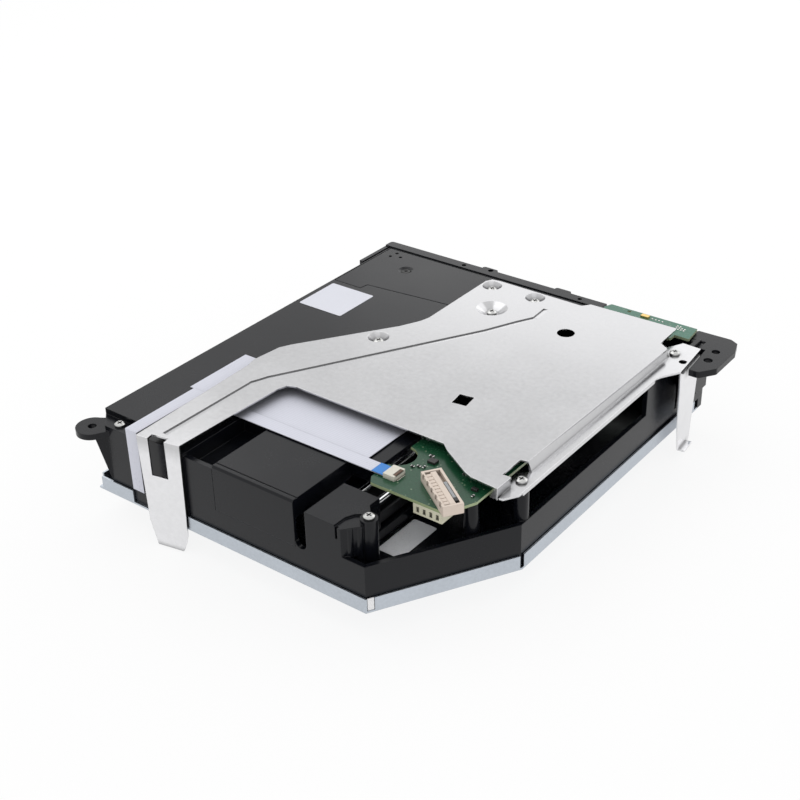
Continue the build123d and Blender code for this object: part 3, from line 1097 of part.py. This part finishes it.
def make_board_screws():
    """Screws of the main board, on the chassis posts"""
    return [screw(x, y, BOARD_TOP, 4.0) for x, y in BOARD_SCREWS]


def node_solids():
    """Every node's name with its solids"""
    levers = {("left" if sign < 0 else "right") + "_disc_lever": make_lever(sign, pivot, tip)
              for sign, pivot, tip in lever_places()}
    nodes = {
        "top_cover": make_top_cover(),
        "main_chassis": make_main_chassis(),
        "slot_bezel": make_slot_bezel(),
        "loading_cover": make_loading_cover(),
        "pickup_cover": make_pickup_cover(),
        "shield_bracket": make_shield_bracket(),
        "main_board": make_main_board(),
        "board_parts": make_board_parts(),
        "small_cable_socket": make_small_cable_socket(),
        "large_cable_socket": make_large_cable_socket(),
        "motor_socket": make_motor_socket(),
        "ribbon_socket": make_ribbon_socket(),
        "rear_board": make_rear_board(),
        "rear_board_parts": make_rear_board_parts(),
        "board_cable": make_board_cable(),
        "cable_stiffener": make_cable_stiffener(),
        "pickup_cable": make_pickup_cable(),
        "deck_label": label(-79.0, -55.6, 22.0, 45.8, DECK_TOP),
        "floor_label": label(40.7, 51.2, -76.7, -54.2, FLOOR_TOP),
        "slot_felts": make_slot_felts(),
        "shield_screws": make_shield_screws(),
        "chassis_screws": make_chassis_screws(),
        "lid_screw": make_lid_screw(),
        "board_screws": make_board_screws(),
        "lift_frame": make_lift_frame(),
        "laser_deck": make_laser_deck(),
        "rubber_dampers": make_dampers(),
        "damper_screws": make_damper_screws(),
        "spindle_motor": make_spindle_motor(),
        "turntable": make_turntable(),
        "turntable_pad": make_turntable_pad(),
        "guide_rods": make_guide_rods(),
        "pickup_carriage": make_pickup_carriage(),
        "lens_holder": make_lens_holder(),
        "objective_lens": make_objective_lens(),
        "sled_motor": make_sled_motor(),
        "lead_screw": make_lead_screw(),
        "cam_slider": make_cam_slider(),
        "roller_gear": make_roller_gear(),
        "idler_gear": make_idler_gear(),
        "motor_pinion": make_motor_pinion(),
        "cam_gear": make_cam_gear(),
        "gear_axles": make_gear_axles(),
        "loading_motor": make_loading_motor(),
        "roller_shaft": make_roller_shaft(),
        "roller_sleeves": make_roller_sleeves(),
        "roller_bushes": make_roller_bushes(),
        "clamp_ring": make_clamp_ring(),
        "clamp_puck": make_clamp_puck(),
        "clamp_magnet": make_clamp_magnet(),
        "lever_pivots": make_lever_pivots(),
        "lever_springs": make_lever_springs(),
    }
    nodes.update(levers)
    return nodes


os.makedirs("parts", exist_ok=True)
for name, solids in node_solids().items():
    group = Compound(children=solids) if isinstance(solids, list) else solids
    export_step(group, "parts/" + name + ".step")
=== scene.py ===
from math import cos, radians, sin

import bpy
from mathutils import Matrix, Vector


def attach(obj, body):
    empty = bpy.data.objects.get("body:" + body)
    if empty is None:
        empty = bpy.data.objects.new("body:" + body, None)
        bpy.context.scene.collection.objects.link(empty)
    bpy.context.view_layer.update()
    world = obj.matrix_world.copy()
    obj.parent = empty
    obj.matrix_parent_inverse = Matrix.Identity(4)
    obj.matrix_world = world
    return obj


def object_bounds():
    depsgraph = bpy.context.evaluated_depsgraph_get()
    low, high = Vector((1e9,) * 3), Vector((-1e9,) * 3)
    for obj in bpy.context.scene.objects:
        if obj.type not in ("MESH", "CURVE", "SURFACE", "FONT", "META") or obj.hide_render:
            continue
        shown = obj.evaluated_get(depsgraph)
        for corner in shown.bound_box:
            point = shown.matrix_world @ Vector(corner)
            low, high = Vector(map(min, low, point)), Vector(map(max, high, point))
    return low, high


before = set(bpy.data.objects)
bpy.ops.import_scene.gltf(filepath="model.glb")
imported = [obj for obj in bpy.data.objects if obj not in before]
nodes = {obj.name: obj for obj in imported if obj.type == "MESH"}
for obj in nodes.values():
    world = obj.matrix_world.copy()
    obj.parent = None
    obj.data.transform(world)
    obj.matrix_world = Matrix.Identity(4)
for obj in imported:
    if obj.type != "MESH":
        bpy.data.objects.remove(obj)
cad_low, cad_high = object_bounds()
scene = bpy.context.scene
scene.view_settings.view_transform = "Standard"
MM = 0.001

# Camera, as the photograph has it: place in metres, angles in degrees, lens in mm
CAMERA_PLACE = (0.2933, -0.3865, 0.3076)
CAMERA_TURN, CAMERA_DROP, CAMERA_TILT = 37.82, 30.57, -1.42
CAMERA_LENS, CAMERA_SENSOR = 62.4, 36

# Studio
FLOOR_SIZE = 6
FLOOR_GAP = 0.0005
FLOOR_WHITE = 0.92
FLOOR_GLOW_SHARE = 0.85
SOFT_LIGHT = 0.85
LAMPS = (("key", (-0.5, 0.1, 0.9), (0.9, 0.9), 2.2),
         ("fill", (0.8, -0.7, 0.6), (1.1, 1.1), 0.9),
         ("back", (0.2, 1.0, 0.8), (0.9, 0.9), 1.5),
         ("card", (-0.195, 0.919, 0.342), (1.0, 0.4), 0.6))

# Finishes
CLOUD_SCALE = 45
GRAIN_LOW, GRAIN_HIGH = 0.6, 1.4
# Painted highlight on edges, and painted shade in hollows
EDGE_HIGHLIGHT_FROM, EDGE_HIGHLIGHT_FULL = 0.98, 0.80
OPEN_LOW, OPEN_HIGH = 0.45, 0.95
HIGHLIGHT_GAIN, HIGHLIGHT_LIFT = 1.6, 0.06
LEAST_ROUGHNESS = 0.02
COAT_ROUGHNESS = 0.15
CONDUCTOR_SCALE, CONDUCTOR_SHADE = 320, 0.90
TRACE_SCALE, TRACE_GAP = 260, 0.03
TRACE_DARK, TRACE_PALE = (0.86, 0.9, 0.88, 1), (1.35, 1.3, 1.2, 1)
VIA_SCALE, VIA_RIM, VIA_CORE, VIA_SHARE = 420, 0.16, 0.11, 0.75
VIA_TONE = (0.22, 0.30, 0.20)
CUT_EDGE_SLOPE = 0.5
# Painted reflection that lightens the zinc legs below the plate
LEG_TOP, PLATE_LOW, LEG_REFLECTION_GAIN = 0.030, 0.036, 1.38

# Places on the drive, in mm and degrees; a chip has its place, length, width and turn
BOARD_FACE = 34.0
CHIPS = ((41.5, -55.6, 1.6, 0.8, 0), (43.3, -54.3, 1.6, 0.8, 0), (45.1, -53.8, 1.6, 0.8, 90),
         (43.2, -46.3, 2.0, 1.2, 0), (59.7, -49.1, 1.6, 0.8, 0), (63.1, -49.0, 1.6, 0.8, 0),
         (69.7, -58.7, 1.6, 0.8, 90))
SMALL_SOCKET = (41.3, -63.9)
SOCKET_FEET, FOOT_PITCH = 6, 0.8
HARNESS_PLACE, HARNESS_TURN = (61.0, -64.8), -35
HARNESS_CONTACTS, HARNESS_PITCH = 9, 2.0
CLIP_ASIDE = 2.15
CHAMFER_CORNER, CHAMFER_TURN = (52.1, -98.0), 59.9
REAR_SOLDER, SOLDER_PITCH = (68.6, 93.0), 1.3
SENSOR_SOLDER, SENSOR_PITCH = (56.6, 95.4), 1.6


def place_camera():
    turn, drop, tilt = radians(CAMERA_TURN), radians(CAMERA_DROP), radians(CAMERA_TILT)
    ahead = Vector((-sin(turn) * cos(drop), cos(turn) * cos(drop), -sin(drop)))
    right = Vector((cos(turn), sin(turn), 0))
    up = right.cross(ahead)
    across = cos(tilt) * right + sin(tilt) * up
    above = -sin(tilt) * right + cos(tilt) * up
    lens = bpy.data.cameras.new("camera")
    lens.lens = CAMERA_LENS
    lens.sensor_width = CAMERA_SENSOR
    lens.clip_start = 0.01
    camera = bpy.data.objects.new("camera", lens)
    rows = [(across[i], above[i], -ahead[i], CAMERA_PLACE[i]) for i in range(3)]
    camera.matrix_world = Matrix((*rows, (0, 0, 0, 1)))
    scene.collection.objects.link(camera)
    scene.camera = camera


# Shader nodes
def add_node(tree, kind, **inputs):
    """New shader node with its inputs set; an underscore stands for a space"""
    node = tree.nodes.new("ShaderNode" + kind)
    for name, value in inputs.items():
        node.inputs[name.replace("_", " ")].default_value = value
    return node


def link(tree, start, end):
    tree.links.new(start, end)


def calculate(tree, operation, first, second):
    """Math node on a socket and, where it needs one, a second socket or number"""
    node = add_node(tree, "Math")
    node.operation = operation
    link(tree, first, node.inputs[0])
    if isinstance(second, float):
        node.inputs[1].default_value = second
    elif second:
        link(tree, second, node.inputs[1])
    return node.outputs[0]


def remap(tree, value, start, end, low, high):
    """Value between start and end moved to between low and high"""
    node = add_node(tree, "MapRange", From_Min=start, From_Max=end, To_Min=low, To_Max=high)
    link(tree, value, node.inputs["Value"])
    return node.outputs[0]


def tone(tree, colour, shade):
    """Colour, a socket or three numbers, multiplied by a shade"""
    mix = add_node(tree, "Mix")
    mix.data_type = "RGBA"
    mix.blend_type = "MULTIPLY"
    mix.inputs["Factor"].default_value = 1.0
    if isinstance(colour, tuple):
        mix.inputs["A"].default_value = (*colour, 1)
    else:
        link(tree, colour, mix.inputs["A"])
    link(tree, shade, mix.inputs["B"])
    return mix.outputs["Result"]


def cover_over(tree, colour, other, share):
    """Colour replaced by another colour where the share is high"""
    mix = add_node(tree, "Mix")
    mix.data_type = "RGBA"
    mix.inputs["B"].default_value = (*other, 1)
    link(tree, share, mix.inputs["Factor"])
    link(tree, colour, mix.inputs["A"])
    return mix.outputs["Result"]


def height_of(tree, socket):
    split = add_node(tree, "SeparateXYZ")
    link(tree, socket, split.inputs[0])
    return split.outputs["Z"]


# Studio: pale floor and world, three soft lamps and a reflector card
def seen_directly(tree):
    """1 for camera, glossy and see-through rays, so that metal and glass show the white backdrop too"""
    path = add_node(tree, "LightPath")
    seen = calculate(tree, "MAXIMUM", path.outputs["Is Camera Ray"], path.outputs["Is Glossy Ray"])
    return calculate(tree, "MAXIMUM", seen, path.outputs["Is Transmission Ray"])


def blend_shaders(tree, share, first, second, out):
    pick = add_node(tree, "MixShader")
    link(tree, share, pick.inputs[0])
    link(tree, first.outputs[0], pick.inputs[1])
    link(tree, second.outputs[0], pick.inputs[2])
    link(tree, pick.outputs[0], out.inputs[0])


def light_world():
    world = bpy.data.worlds.new("studio")
    scene.world = world
    world.use_nodes = True
    tree = world.node_tree
    tree.nodes.clear()
    soft = add_node(tree, "Background", Color=(1, 1, 1, 1), Strength=SOFT_LIGHT)
    white = add_node(tree, "Background", Color=(1, 1, 1, 1), Strength=1.0)
    blend_shaders(tree, seen_directly(tree), soft, white, add_node(tree, "OutputWorld"))


def lay_floor():
    bpy.ops.mesh.primitive_plane_add(size=FLOOR_SIZE, location=(0, 0, float(cad_low.z) - FLOOR_GAP))
    floor = bpy.context.object
    floor.name = "floor"
    paper = bpy.data.materials.new("paper")
    paper.use_nodes = True
    tree = paper.node_tree
    tree.nodes.clear()
    matt = add_node(tree, "BsdfDiffuse", Color=(FLOOR_WHITE, FLOOR_WHITE, FLOOR_WHITE, 1))
    glow = add_node(tree, "Emission", Strength=1.0)
    share = calculate(tree, "MULTIPLY", seen_directly(tree), FLOOR_GLOW_SHARE)
    blend_shaders(tree, share, matt, glow, add_node(tree, "OutputMaterial"))
    floor.data.materials.append(paper)


def hang_lamps():
    for name, place, size, power in LAMPS:
        lamp = bpy.data.lights.new(name, "AREA")
        lamp.shape = "RECTANGLE"
        lamp.size, lamp.size_y = size
        lamp.energy = power
        holder = bpy.data.objects.new(name, lamp)
        holder.location = place
        holder.rotation_euler = (-Vector(place)).to_track_quat("-Z", "Y").to_euler()
        scene.collection.objects.link(holder)


# Finishes
def surface(name, colour, roughness, metallic=0.0, grain=1500.0, along=(1, 1, 1), tint=0.06, swing=0.08,
            bump=0.15, depth=0.00002, edge=0.00025, edge_light=0.0, coat=0.0, specular=0.5, hollow_shade=0.0,
            reach=0.0015):
    """Material with grain in its colour, roughness and bump, a painted highlight on its edges and painted
    shade in its hollows
    """
    mat = bpy.data.materials.new(name)
    mat.use_nodes = True
    tree = mat.node_tree
    shader = tree.nodes["Principled BSDF"]
    shader.inputs["Metallic"].default_value = metallic
    shader.inputs["Specular IOR Level"].default_value = specular
    if coat:
        shader.inputs["Coat Weight"].default_value = coat
        shader.inputs["Coat Roughness"].default_value = COAT_ROUGHNESS

    place = add_node(tree, "TexCoord")
    mapping = add_node(tree, "Mapping", Scale=along)
    link(tree, place.outputs["Object"], mapping.inputs[0])
    fine = add_node(tree, "TexNoise", Scale=grain, Detail=4)
    cloud = add_node(tree, "TexNoise", Scale=CLOUD_SCALE, Detail=5)
    for noise in (fine, cloud):
        link(tree, mapping.outputs[0], noise.inputs["Vector"])
    blend = calculate(tree, "ADD", fine.outputs["Fac"], cloud.outputs["Fac"])
    paint = tone(tree, colour, remap(tree, blend, GRAIN_LOW, GRAIN_HIGH, 1 - tint, 1 + tint))

    bevel = add_node(tree, "Bevel", Radius=edge)
    bevel.samples = 4
    # Painted highlight: where the bevelled normal turns away from the flat one, the edge gets a lighter colour
    if edge_light:
        flat = add_node(tree, "NewGeometry")
        turn = add_node(tree, "VectorMath")
        turn.operation = "DOT_PRODUCT"
        link(tree, bevel.outputs[0], turn.inputs[0])
        link(tree, flat.outputs["Normal"], turn.inputs[1])
        edge_highlight_share = remap(tree, turn.outputs["Value"], EDGE_HIGHLIGHT_FROM, EDGE_HIGHLIGHT_FULL, 0.0, edge_light)
        edge_highlight_colour = tuple(min(1, part * HIGHLIGHT_GAIN + HIGHLIGHT_LIFT) for part in colour)
        paint = cover_over(tree, paint, edge_highlight_colour, edge_highlight_share)
    # Painted shade: colour darkened by ambient occlusion in hollows and under nearby parts
    if hollow_shade:
        cavity = add_node(tree, "AmbientOcclusion", Distance=reach)
        cavity.samples = 8
        painted_shade = remap(tree, cavity.outputs["AO"], OPEN_LOW, OPEN_HIGH, 1 - hollow_shade, 1.0)
        paint = tone(tree, paint, painted_shade)
    link(tree, paint, shader.inputs["Base Color"])

    smoothest = max(LEAST_ROUGHNESS, roughness - swing)
    gloss = remap(tree, blend, GRAIN_LOW, GRAIN_HIGH, smoothest, roughness + swing)
    link(tree, gloss, shader.inputs["Roughness"])
    relief = add_node(tree, "Bump", Strength=bump, Distance=depth)
    link(tree, fine.outputs["Fac"], relief.inputs["Height"])
    link(tree, bevel.outputs[0], relief.inputs["Normal"])
    link(tree, relief.outputs[0], shader.inputs["Normal"])
    return mat


def paint_of(mat):
    """Node tree of a finish, its base colour input and the colour linked to it"""
    tree = mat.node_tree
    base = tree.nodes["Principled BSDF"].inputs["Base Color"]
    return tree, base, base.links[0].from_socket


def ribbon_film():
    """Lavender-grey laminate with the flat conductors showing as fine lines, and painted shade where parts
    above it cast shadow
    """
    mat = surface("ribbon_laminate", (0.64, 0.65, 0.73), 0.32, tint=0.03, bump=0.05, hollow_shade=0.6, reach=0.014)
    tree, base, paint = paint_of(mat)
    place = add_node(tree, "TexCoord")
    lines = add_node(tree, "TexWave", Scale=CONDUCTOR_SCALE, Distortion=0.0)
    lines.wave_type = "BANDS"
    lines.bands_direction = "Y"
    link(tree, place.outputs["Object"], lines.inputs["Vector"])
    shade = remap(tree, lines.outputs["Fac"], 0.0, 1.0, CONDUCTOR_SHADE, 1.0)
    link(tree, tone(tree, paint, shade), base)
    return mat


def zinc_sheet():
    """Satin zinc with painted shade in its hollows, and a painted reflection that makes the legs lighter than
    the plate
    """
    mat = surface("bright_zinc_sheet", (0.56, 0.56, 0.57), 0.18, 1.0, grain=500, tint=0.05, swing=0.04,
                  bump=0.04, depth=0.000006, edge=0.0004, edge_light=0.3, hollow_shade=0.7, reach=0.003)
    tree, base, paint = paint_of(mat)
    place = add_node(tree, "TexCoord")
    # Painted reflection: the colour is raised below the plate, on the legs
    leg_reflection = remap(tree, height_of(tree, place.outputs["Object"]), PLATE_LOW, LEG_TOP, 1.0, LEG_REFLECTION_GAIN)
    link(tree, tone(tree, paint, leg_reflection), base)
    return mat


def board_mask(name, colour, edge_colour):
    """Solder mask over traces and vias, with the paler cut edge of the laminate"""
    mat = surface(name, colour, 0.24, grain=1800, tint=0.12, bump=0.05)
    tree, base, paint = paint_of(mat)
    place = add_node(tree, "TexCoord")
    traces = add_node(tree, "TexBrick", Scale=TRACE_SCALE, Mortar_Size=TRACE_GAP, Color1=(1, 1, 1, 1),
                      Color2=TRACE_DARK, Mortar=TRACE_PALE)
    vias = add_node(tree, "TexVoronoi", Scale=VIA_SCALE)
    for pattern in (traces, vias):
        link(tree, place.outputs["Object"], pattern.inputs["Vector"])
    etched = tone(tree, paint, traces.outputs["Color"])
    dot = remap(tree, vias.outputs["Distance"], VIA_RIM, VIA_CORE, 0.0, VIA_SHARE)
    drilled = cover_over(tree, etched, VIA_TONE, dot)
    shape = add_node(tree, "NewGeometry")
    lying = calculate(tree, "ABSOLUTE", height_of(tree, shape.outputs["True Normal"]), None)
    cut = calculate(tree, "LESS_THAN", lying, CUT_EDGE_SLOPE)
    link(tree, cover_over(tree, drilled, edge_colour, cut), base)
    return mat


# Small parts that only the look needs; places and sizes in mm
def in_metres(values):
    return tuple(value * MM for value in values)


def break_edges(piece, width):
    """Place applied to the mesh and all edges bevelled"""
    bpy.ops.object.transform_apply(location=True, rotation=True, scale=True)
    bpy.ops.object.mode_set(mode="EDIT")
    bpy.ops.mesh.select_all(action="SELECT")
    bpy.ops.mesh.bevel(offset=width * MM, segments=2, affect="EDGES")
    bpy.ops.object.mode_set(mode="OBJECT")
    return piece


def block(place, size, turn, bevel):
    """Small block at its place, its edges broken"""
    bpy.ops.object.select_all(action="DESELECT")
    bpy.ops.mesh.primitive_cube_add(size=1, location=in_metres(place), rotation=(0, 0, radians(turn)))
    piece = bpy.context.object
    piece.scale = in_metres(size)
    return break_edges(piece, bevel)


def bead(place, radius, height):
    """Small domed solder point"""
    bpy.ops.object.select_all(action="DESELECT")
    bpy.ops.mesh.primitive_cylinder_add(vertices=16, radius=radius * MM, depth=height * MM,
                                        location=in_metres(place))
    return break_edges(bpy.context.object, height * 0.45)


def gather(name, pieces, mat):
    """One piece from several, riding on the drive's body"""
    bpy.ops.object.select_all(action="DESELECT")
    for piece in pieces:
        piece.select_set(True)
    bpy.context.view_layer.objects.active = pieces[0]
    if len(pieces) > 1:
        bpy.ops.object.join()
    whole = bpy.context.object
    whole.name = name
    whole.data.materials.clear()
    whole.data.materials.append(mat)
    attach(whole, "drive_body")


def turned_place(origin, turn, along, aside, height):
    """Place given along and across a direction from an origin"""
    turn = radians(turn)
    return (origin[0] + along * cos(turn) - aside * sin(turn),
            origin[1] + along * sin(turn) + aside * cos(turn), height)


def fit_board_parts():
    """Chip resistors and capacitors with their tinned ends, a driver chip and a regulator"""
    bodies = []
    ends = []
    for x, y, length, width, turn in CHIPS:
        bodies.append(block((x, y, BOARD_FACE + 0.3), (0.6 * length, width, 0.6), turn, 0.05))
        for side in (-1, 1):
            place = turned_place((x, y), turn, side * 0.4 * length, 0.0, BOARD_FACE + 0.31)
            ends.append(block(place, (0.2 * length, 1.02 * width, 0.62), turn, 0.05))
    driver = block((45.7, -49.0, BOARD_FACE + 0.5), (3.4, 2.8, 1.0), 0, 0.12)
    regulator = block((68.1, -55.1, BOARD_FACE + 0.5), (2.4, 1.6, 1.0), 0, 0.1)
    gather("chip_bodies", bodies + [driver, regulator],
           surface("moulded_epoxy", (0.015, 0.014, 0.013), 0.4, tint=0.15))
    gather("chip_ends", ends, surface("bright_tin", (0.72, 0.72, 0.70), 0.25, 1.0))


def harness_block(along, aside, height, size, bevel):
    """Block in the harness socket, placed along and across it"""
    return block(turned_place(HARNESS_PLACE, HARNESS_TURN, along, aside, height), size, HARNESS_TURN, bevel)


def fit_sockets():
    """Latch bar and soldered feet of the small socket; contacts, clip, key and comb of the harness socket"""
    latch = block((*SMALL_SOCKET, BOARD_FACE + 1.9), (1.0, 4.6, 0.4), 0, 0.1)
    gather("socket_latch", [latch], surface("brown_latch", (0.10, 0.045, 0.02), 0.4))
    contacts = [block((SMALL_SOCKET[0] + 1.0, SMALL_SOCKET[1] - 2.0 + FOOT_PITCH * k, BOARD_FACE + 0.15),
                      (0.9, 0.4, 0.3), 0, 0.06) for k in range(SOCKET_FEET)]
    contacts += [harness_block(HARNESS_PITCH * k - 8.0, -1.4, BOARD_FACE + 2.7, (0.5, 0.8, 1.4), 0.1)
                 for k in range(HARNESS_CONTACTS)]
    clip = [harness_block(2.0, CLIP_ASIDE, BOARD_FACE + 3.3, (10.0, 1.2, 1.2), 0.2),
            harness_block(-2.4, CLIP_ASIDE, BOARD_FACE + 3.2, (1.4, 1.3, 1.5), 0.2)]
    gather("harness_clip", clip, surface("grey_clip", (0.30, 0.31, 0.32), 0.35, 0.4))
    key = [harness_block(8.2, CLIP_ASIDE, BOARD_FACE + 3.4, (2.2, 1.3, 1.2), 0.2),
           harness_block(9.4, 0.4, BOARD_FACE + 3.4, (1.0, 1.6, 1.0), 0.2)]
    gather("harness_key", key, surface("black_key", (0.012, 0.012, 0.012), 0.35))
    comb = [harness_block(0.0, 0.3, BOARD_FACE + 3.3, (21.2, 2.2, 1.3), 0.3)]
    comb += [harness_block(HARNESS_PITCH * k - 9.0, -1.75, BOARD_FACE + 3.1, (1.7, 2.2, 1.2), 0.2)
             for k in range(HARNESS_CONTACTS + 1)]
    gather("harness_comb", comb, surface("pink_cream_nylon", (0.66, 0.56, 0.48), 0.45, tint=0.05))
    gather("socket_contacts", contacts, surface("tinned_contact", (0.74, 0.72, 0.66), 0.25, 1.0))


def fit_corner_highlight():
    """Pale block in the gap where the cover's front and chamfer flanges meet, a painted highlight of the lit
    corner
    """
    # Painted highlight: a white block stands for the light caught in the corner
    glint_block = block(turned_place(CHAMFER_CORNER, CHAMFER_TURN, 2.1, 0.4, 3.4), (2.6, 0.6, 5.1), CHAMFER_TURN, 0.25)
    gather("corner_highlight_block", [glint_block], surface("painted_corner_highlight", (0.82, 0.82, 0.83), 0.35, tint=0.03))


def fit_rear_solder():
    """Solder points of the rear board's contacts and slot sensor"""
    (left, front), (sensor_left, sensor_row) = REAR_SOLDER, SENSOR_SOLDER
    points = [bead((left + SOLDER_PITCH * (k % 4), front + SOLDER_PITCH * (k // 4), BOARD_FACE + 0.05),
                   0.42, 0.3) for k in range(10)]
    points += [bead((sensor_left + SENSOR_PITCH * k, sensor_row, BOARD_FACE + 0.05), 0.4, 0.3)
               for k in range(4)]
    gather("rear_solder", points, surface("solder", (0.74, 0.73, 0.70), 0.22, 1.0))


# Finishes of the CAD nodes
def dress(mat, *names):
    for name in names:
        piece = nodes[name]
        piece.data.materials.clear()
        piece.data.materials.append(mat)


def dress_shells():
    dress(surface("galvanised_sheet", (0.50, 0.54, 0.59), 0.34, 1.0, grain=900, tint=0.10), "top_cover")
    dress(zinc_sheet(), "shield_bracket")
    moulding = surface("black_moulding", (0.0035, 0.0040, 0.0060), 0.23, grain=2600, tint=0.15, bump=0.10,
                       edge=0.0004, edge_light=0.2, specular=0.26)
    dress(moulding, "main_chassis", "loading_cover", "pickup_cover", "slot_bezel", "lift_frame")
    dress(surface("label_paper", (0.66, 0.67, 0.73), 0.5, tint=0.03, specular=0.3), "deck_label")
    dress(surface("pale_label_film", (0.90, 0.91, 0.94), 0.30, tint=0.04, bump=0.03), "floor_label")
    dress(surface("black_felt", (0.02, 0.02, 0.02), 0.9, bump=0.8), "slot_felts")
    screw = surface("zinc_screw", (0.55, 0.55, 0.54), 0.22, 1.0, hollow_shade=0.85, reach=0.001)
    dress(screw, "shield_screws", "chassis_screws", "board_screws", "damper_screws")
    dress(surface("black_screw", (0.03, 0.03, 0.03), 0.35, 0.6), "lid_screw")


def dress_boards():
    dress(board_mask("green_mask", (0.010, 0.060, 0.028), (0.30, 0.36, 0.20)), "main_board")
    dress(board_mask("teal_mask", (0.025, 0.13, 0.085), (0.32, 0.38, 0.24)), "rear_board")
    dress(surface("gold_flash", (0.80, 0.55, 0.20), 0.25, 1.0), "rear_board_parts")
    cream = surface("cream_nylon", (0.66, 0.63, 0.55), 0.45, tint=0.05, hollow_shade=0.5)
    dress(cream, "small_cable_socket", "ribbon_socket")
    pink = surface("pink_cream_nylon", (0.66, 0.56, 0.48), 0.45, tint=0.05, hollow_shade=0.5)
    dress(pink, "large_cable_socket")
    dress(surface("ivory_nylon", (0.62, 0.60, 0.46), 0.45, tint=0.06, hollow_shade=0.7), "motor_socket")
    dress(ribbon_film(), "pickup_cable", "board_cable")
    dress(surface("blue_film", (0.02, 0.20, 0.60), 0.35), "cable_stiffener")


def dress_mechanism():
    black = surface("black_part", (0.02, 0.02, 0.022), 0.35, grain=2000)
    dress(black, "turntable", "lens_holder", "board_parts")
    rubber = surface("soft_rubber", (0.03, 0.03, 0.032), 0.7)
    dress(rubber, "rubber_dampers", "turntable_pad", "roller_sleeves")
    rod = surface("polished_rod", (0.75, 0.76, 0.77), 0.12, 1.0)
    dress(rod, "guide_rods", "lead_screw", "gear_axles", "roller_shaft", "lever_pivots", "lever_springs")
    can = surface("motor_can", (0.60, 0.61, 0.62), 0.28, 1.0)
    dress(can, "spindle_motor", "loading_motor", "clamp_magnet")
    dress(surface("dark_motor_can", (0.09, 0.09, 0.095), 0.34, 1.0), "sled_motor")
    deck = surface("black_coated_sheet", (0.035, 0.036, 0.038), 0.38, 0.6, grain=700, along=(1, 0.12, 1))
    dress(deck, "laser_deck")
    dress(surface("cast_zinc", (0.48, 0.49, 0.50), 0.45, 1.0, bump=0.4), "pickup_carriage")
    acetal = surface("white_acetal", (0.72, 0.71, 0.66), 0.35, tint=0.04)
    dress(acetal, "cam_slider", "roller_gear", "idler_gear", "cam_gear", "roller_bushes", "clamp_ring",
          "clamp_puck", "left_disc_lever", "right_disc_lever")
    dress(surface("turned_brass", (0.75, 0.55, 0.22), 0.25, 1.0), "motor_pinion")
    dress(surface("lens_glass", (0.20, 0.22, 0.45), 0.05, coat=1.0), "objective_lens")


light_world()
lay_floor()
hang_lamps()
place_camera()
dress_shells()
dress_boards()
dress_mechanism()
fit_board_parts()
fit_sockets()
fit_corner_highlight()
fit_rear_solder()
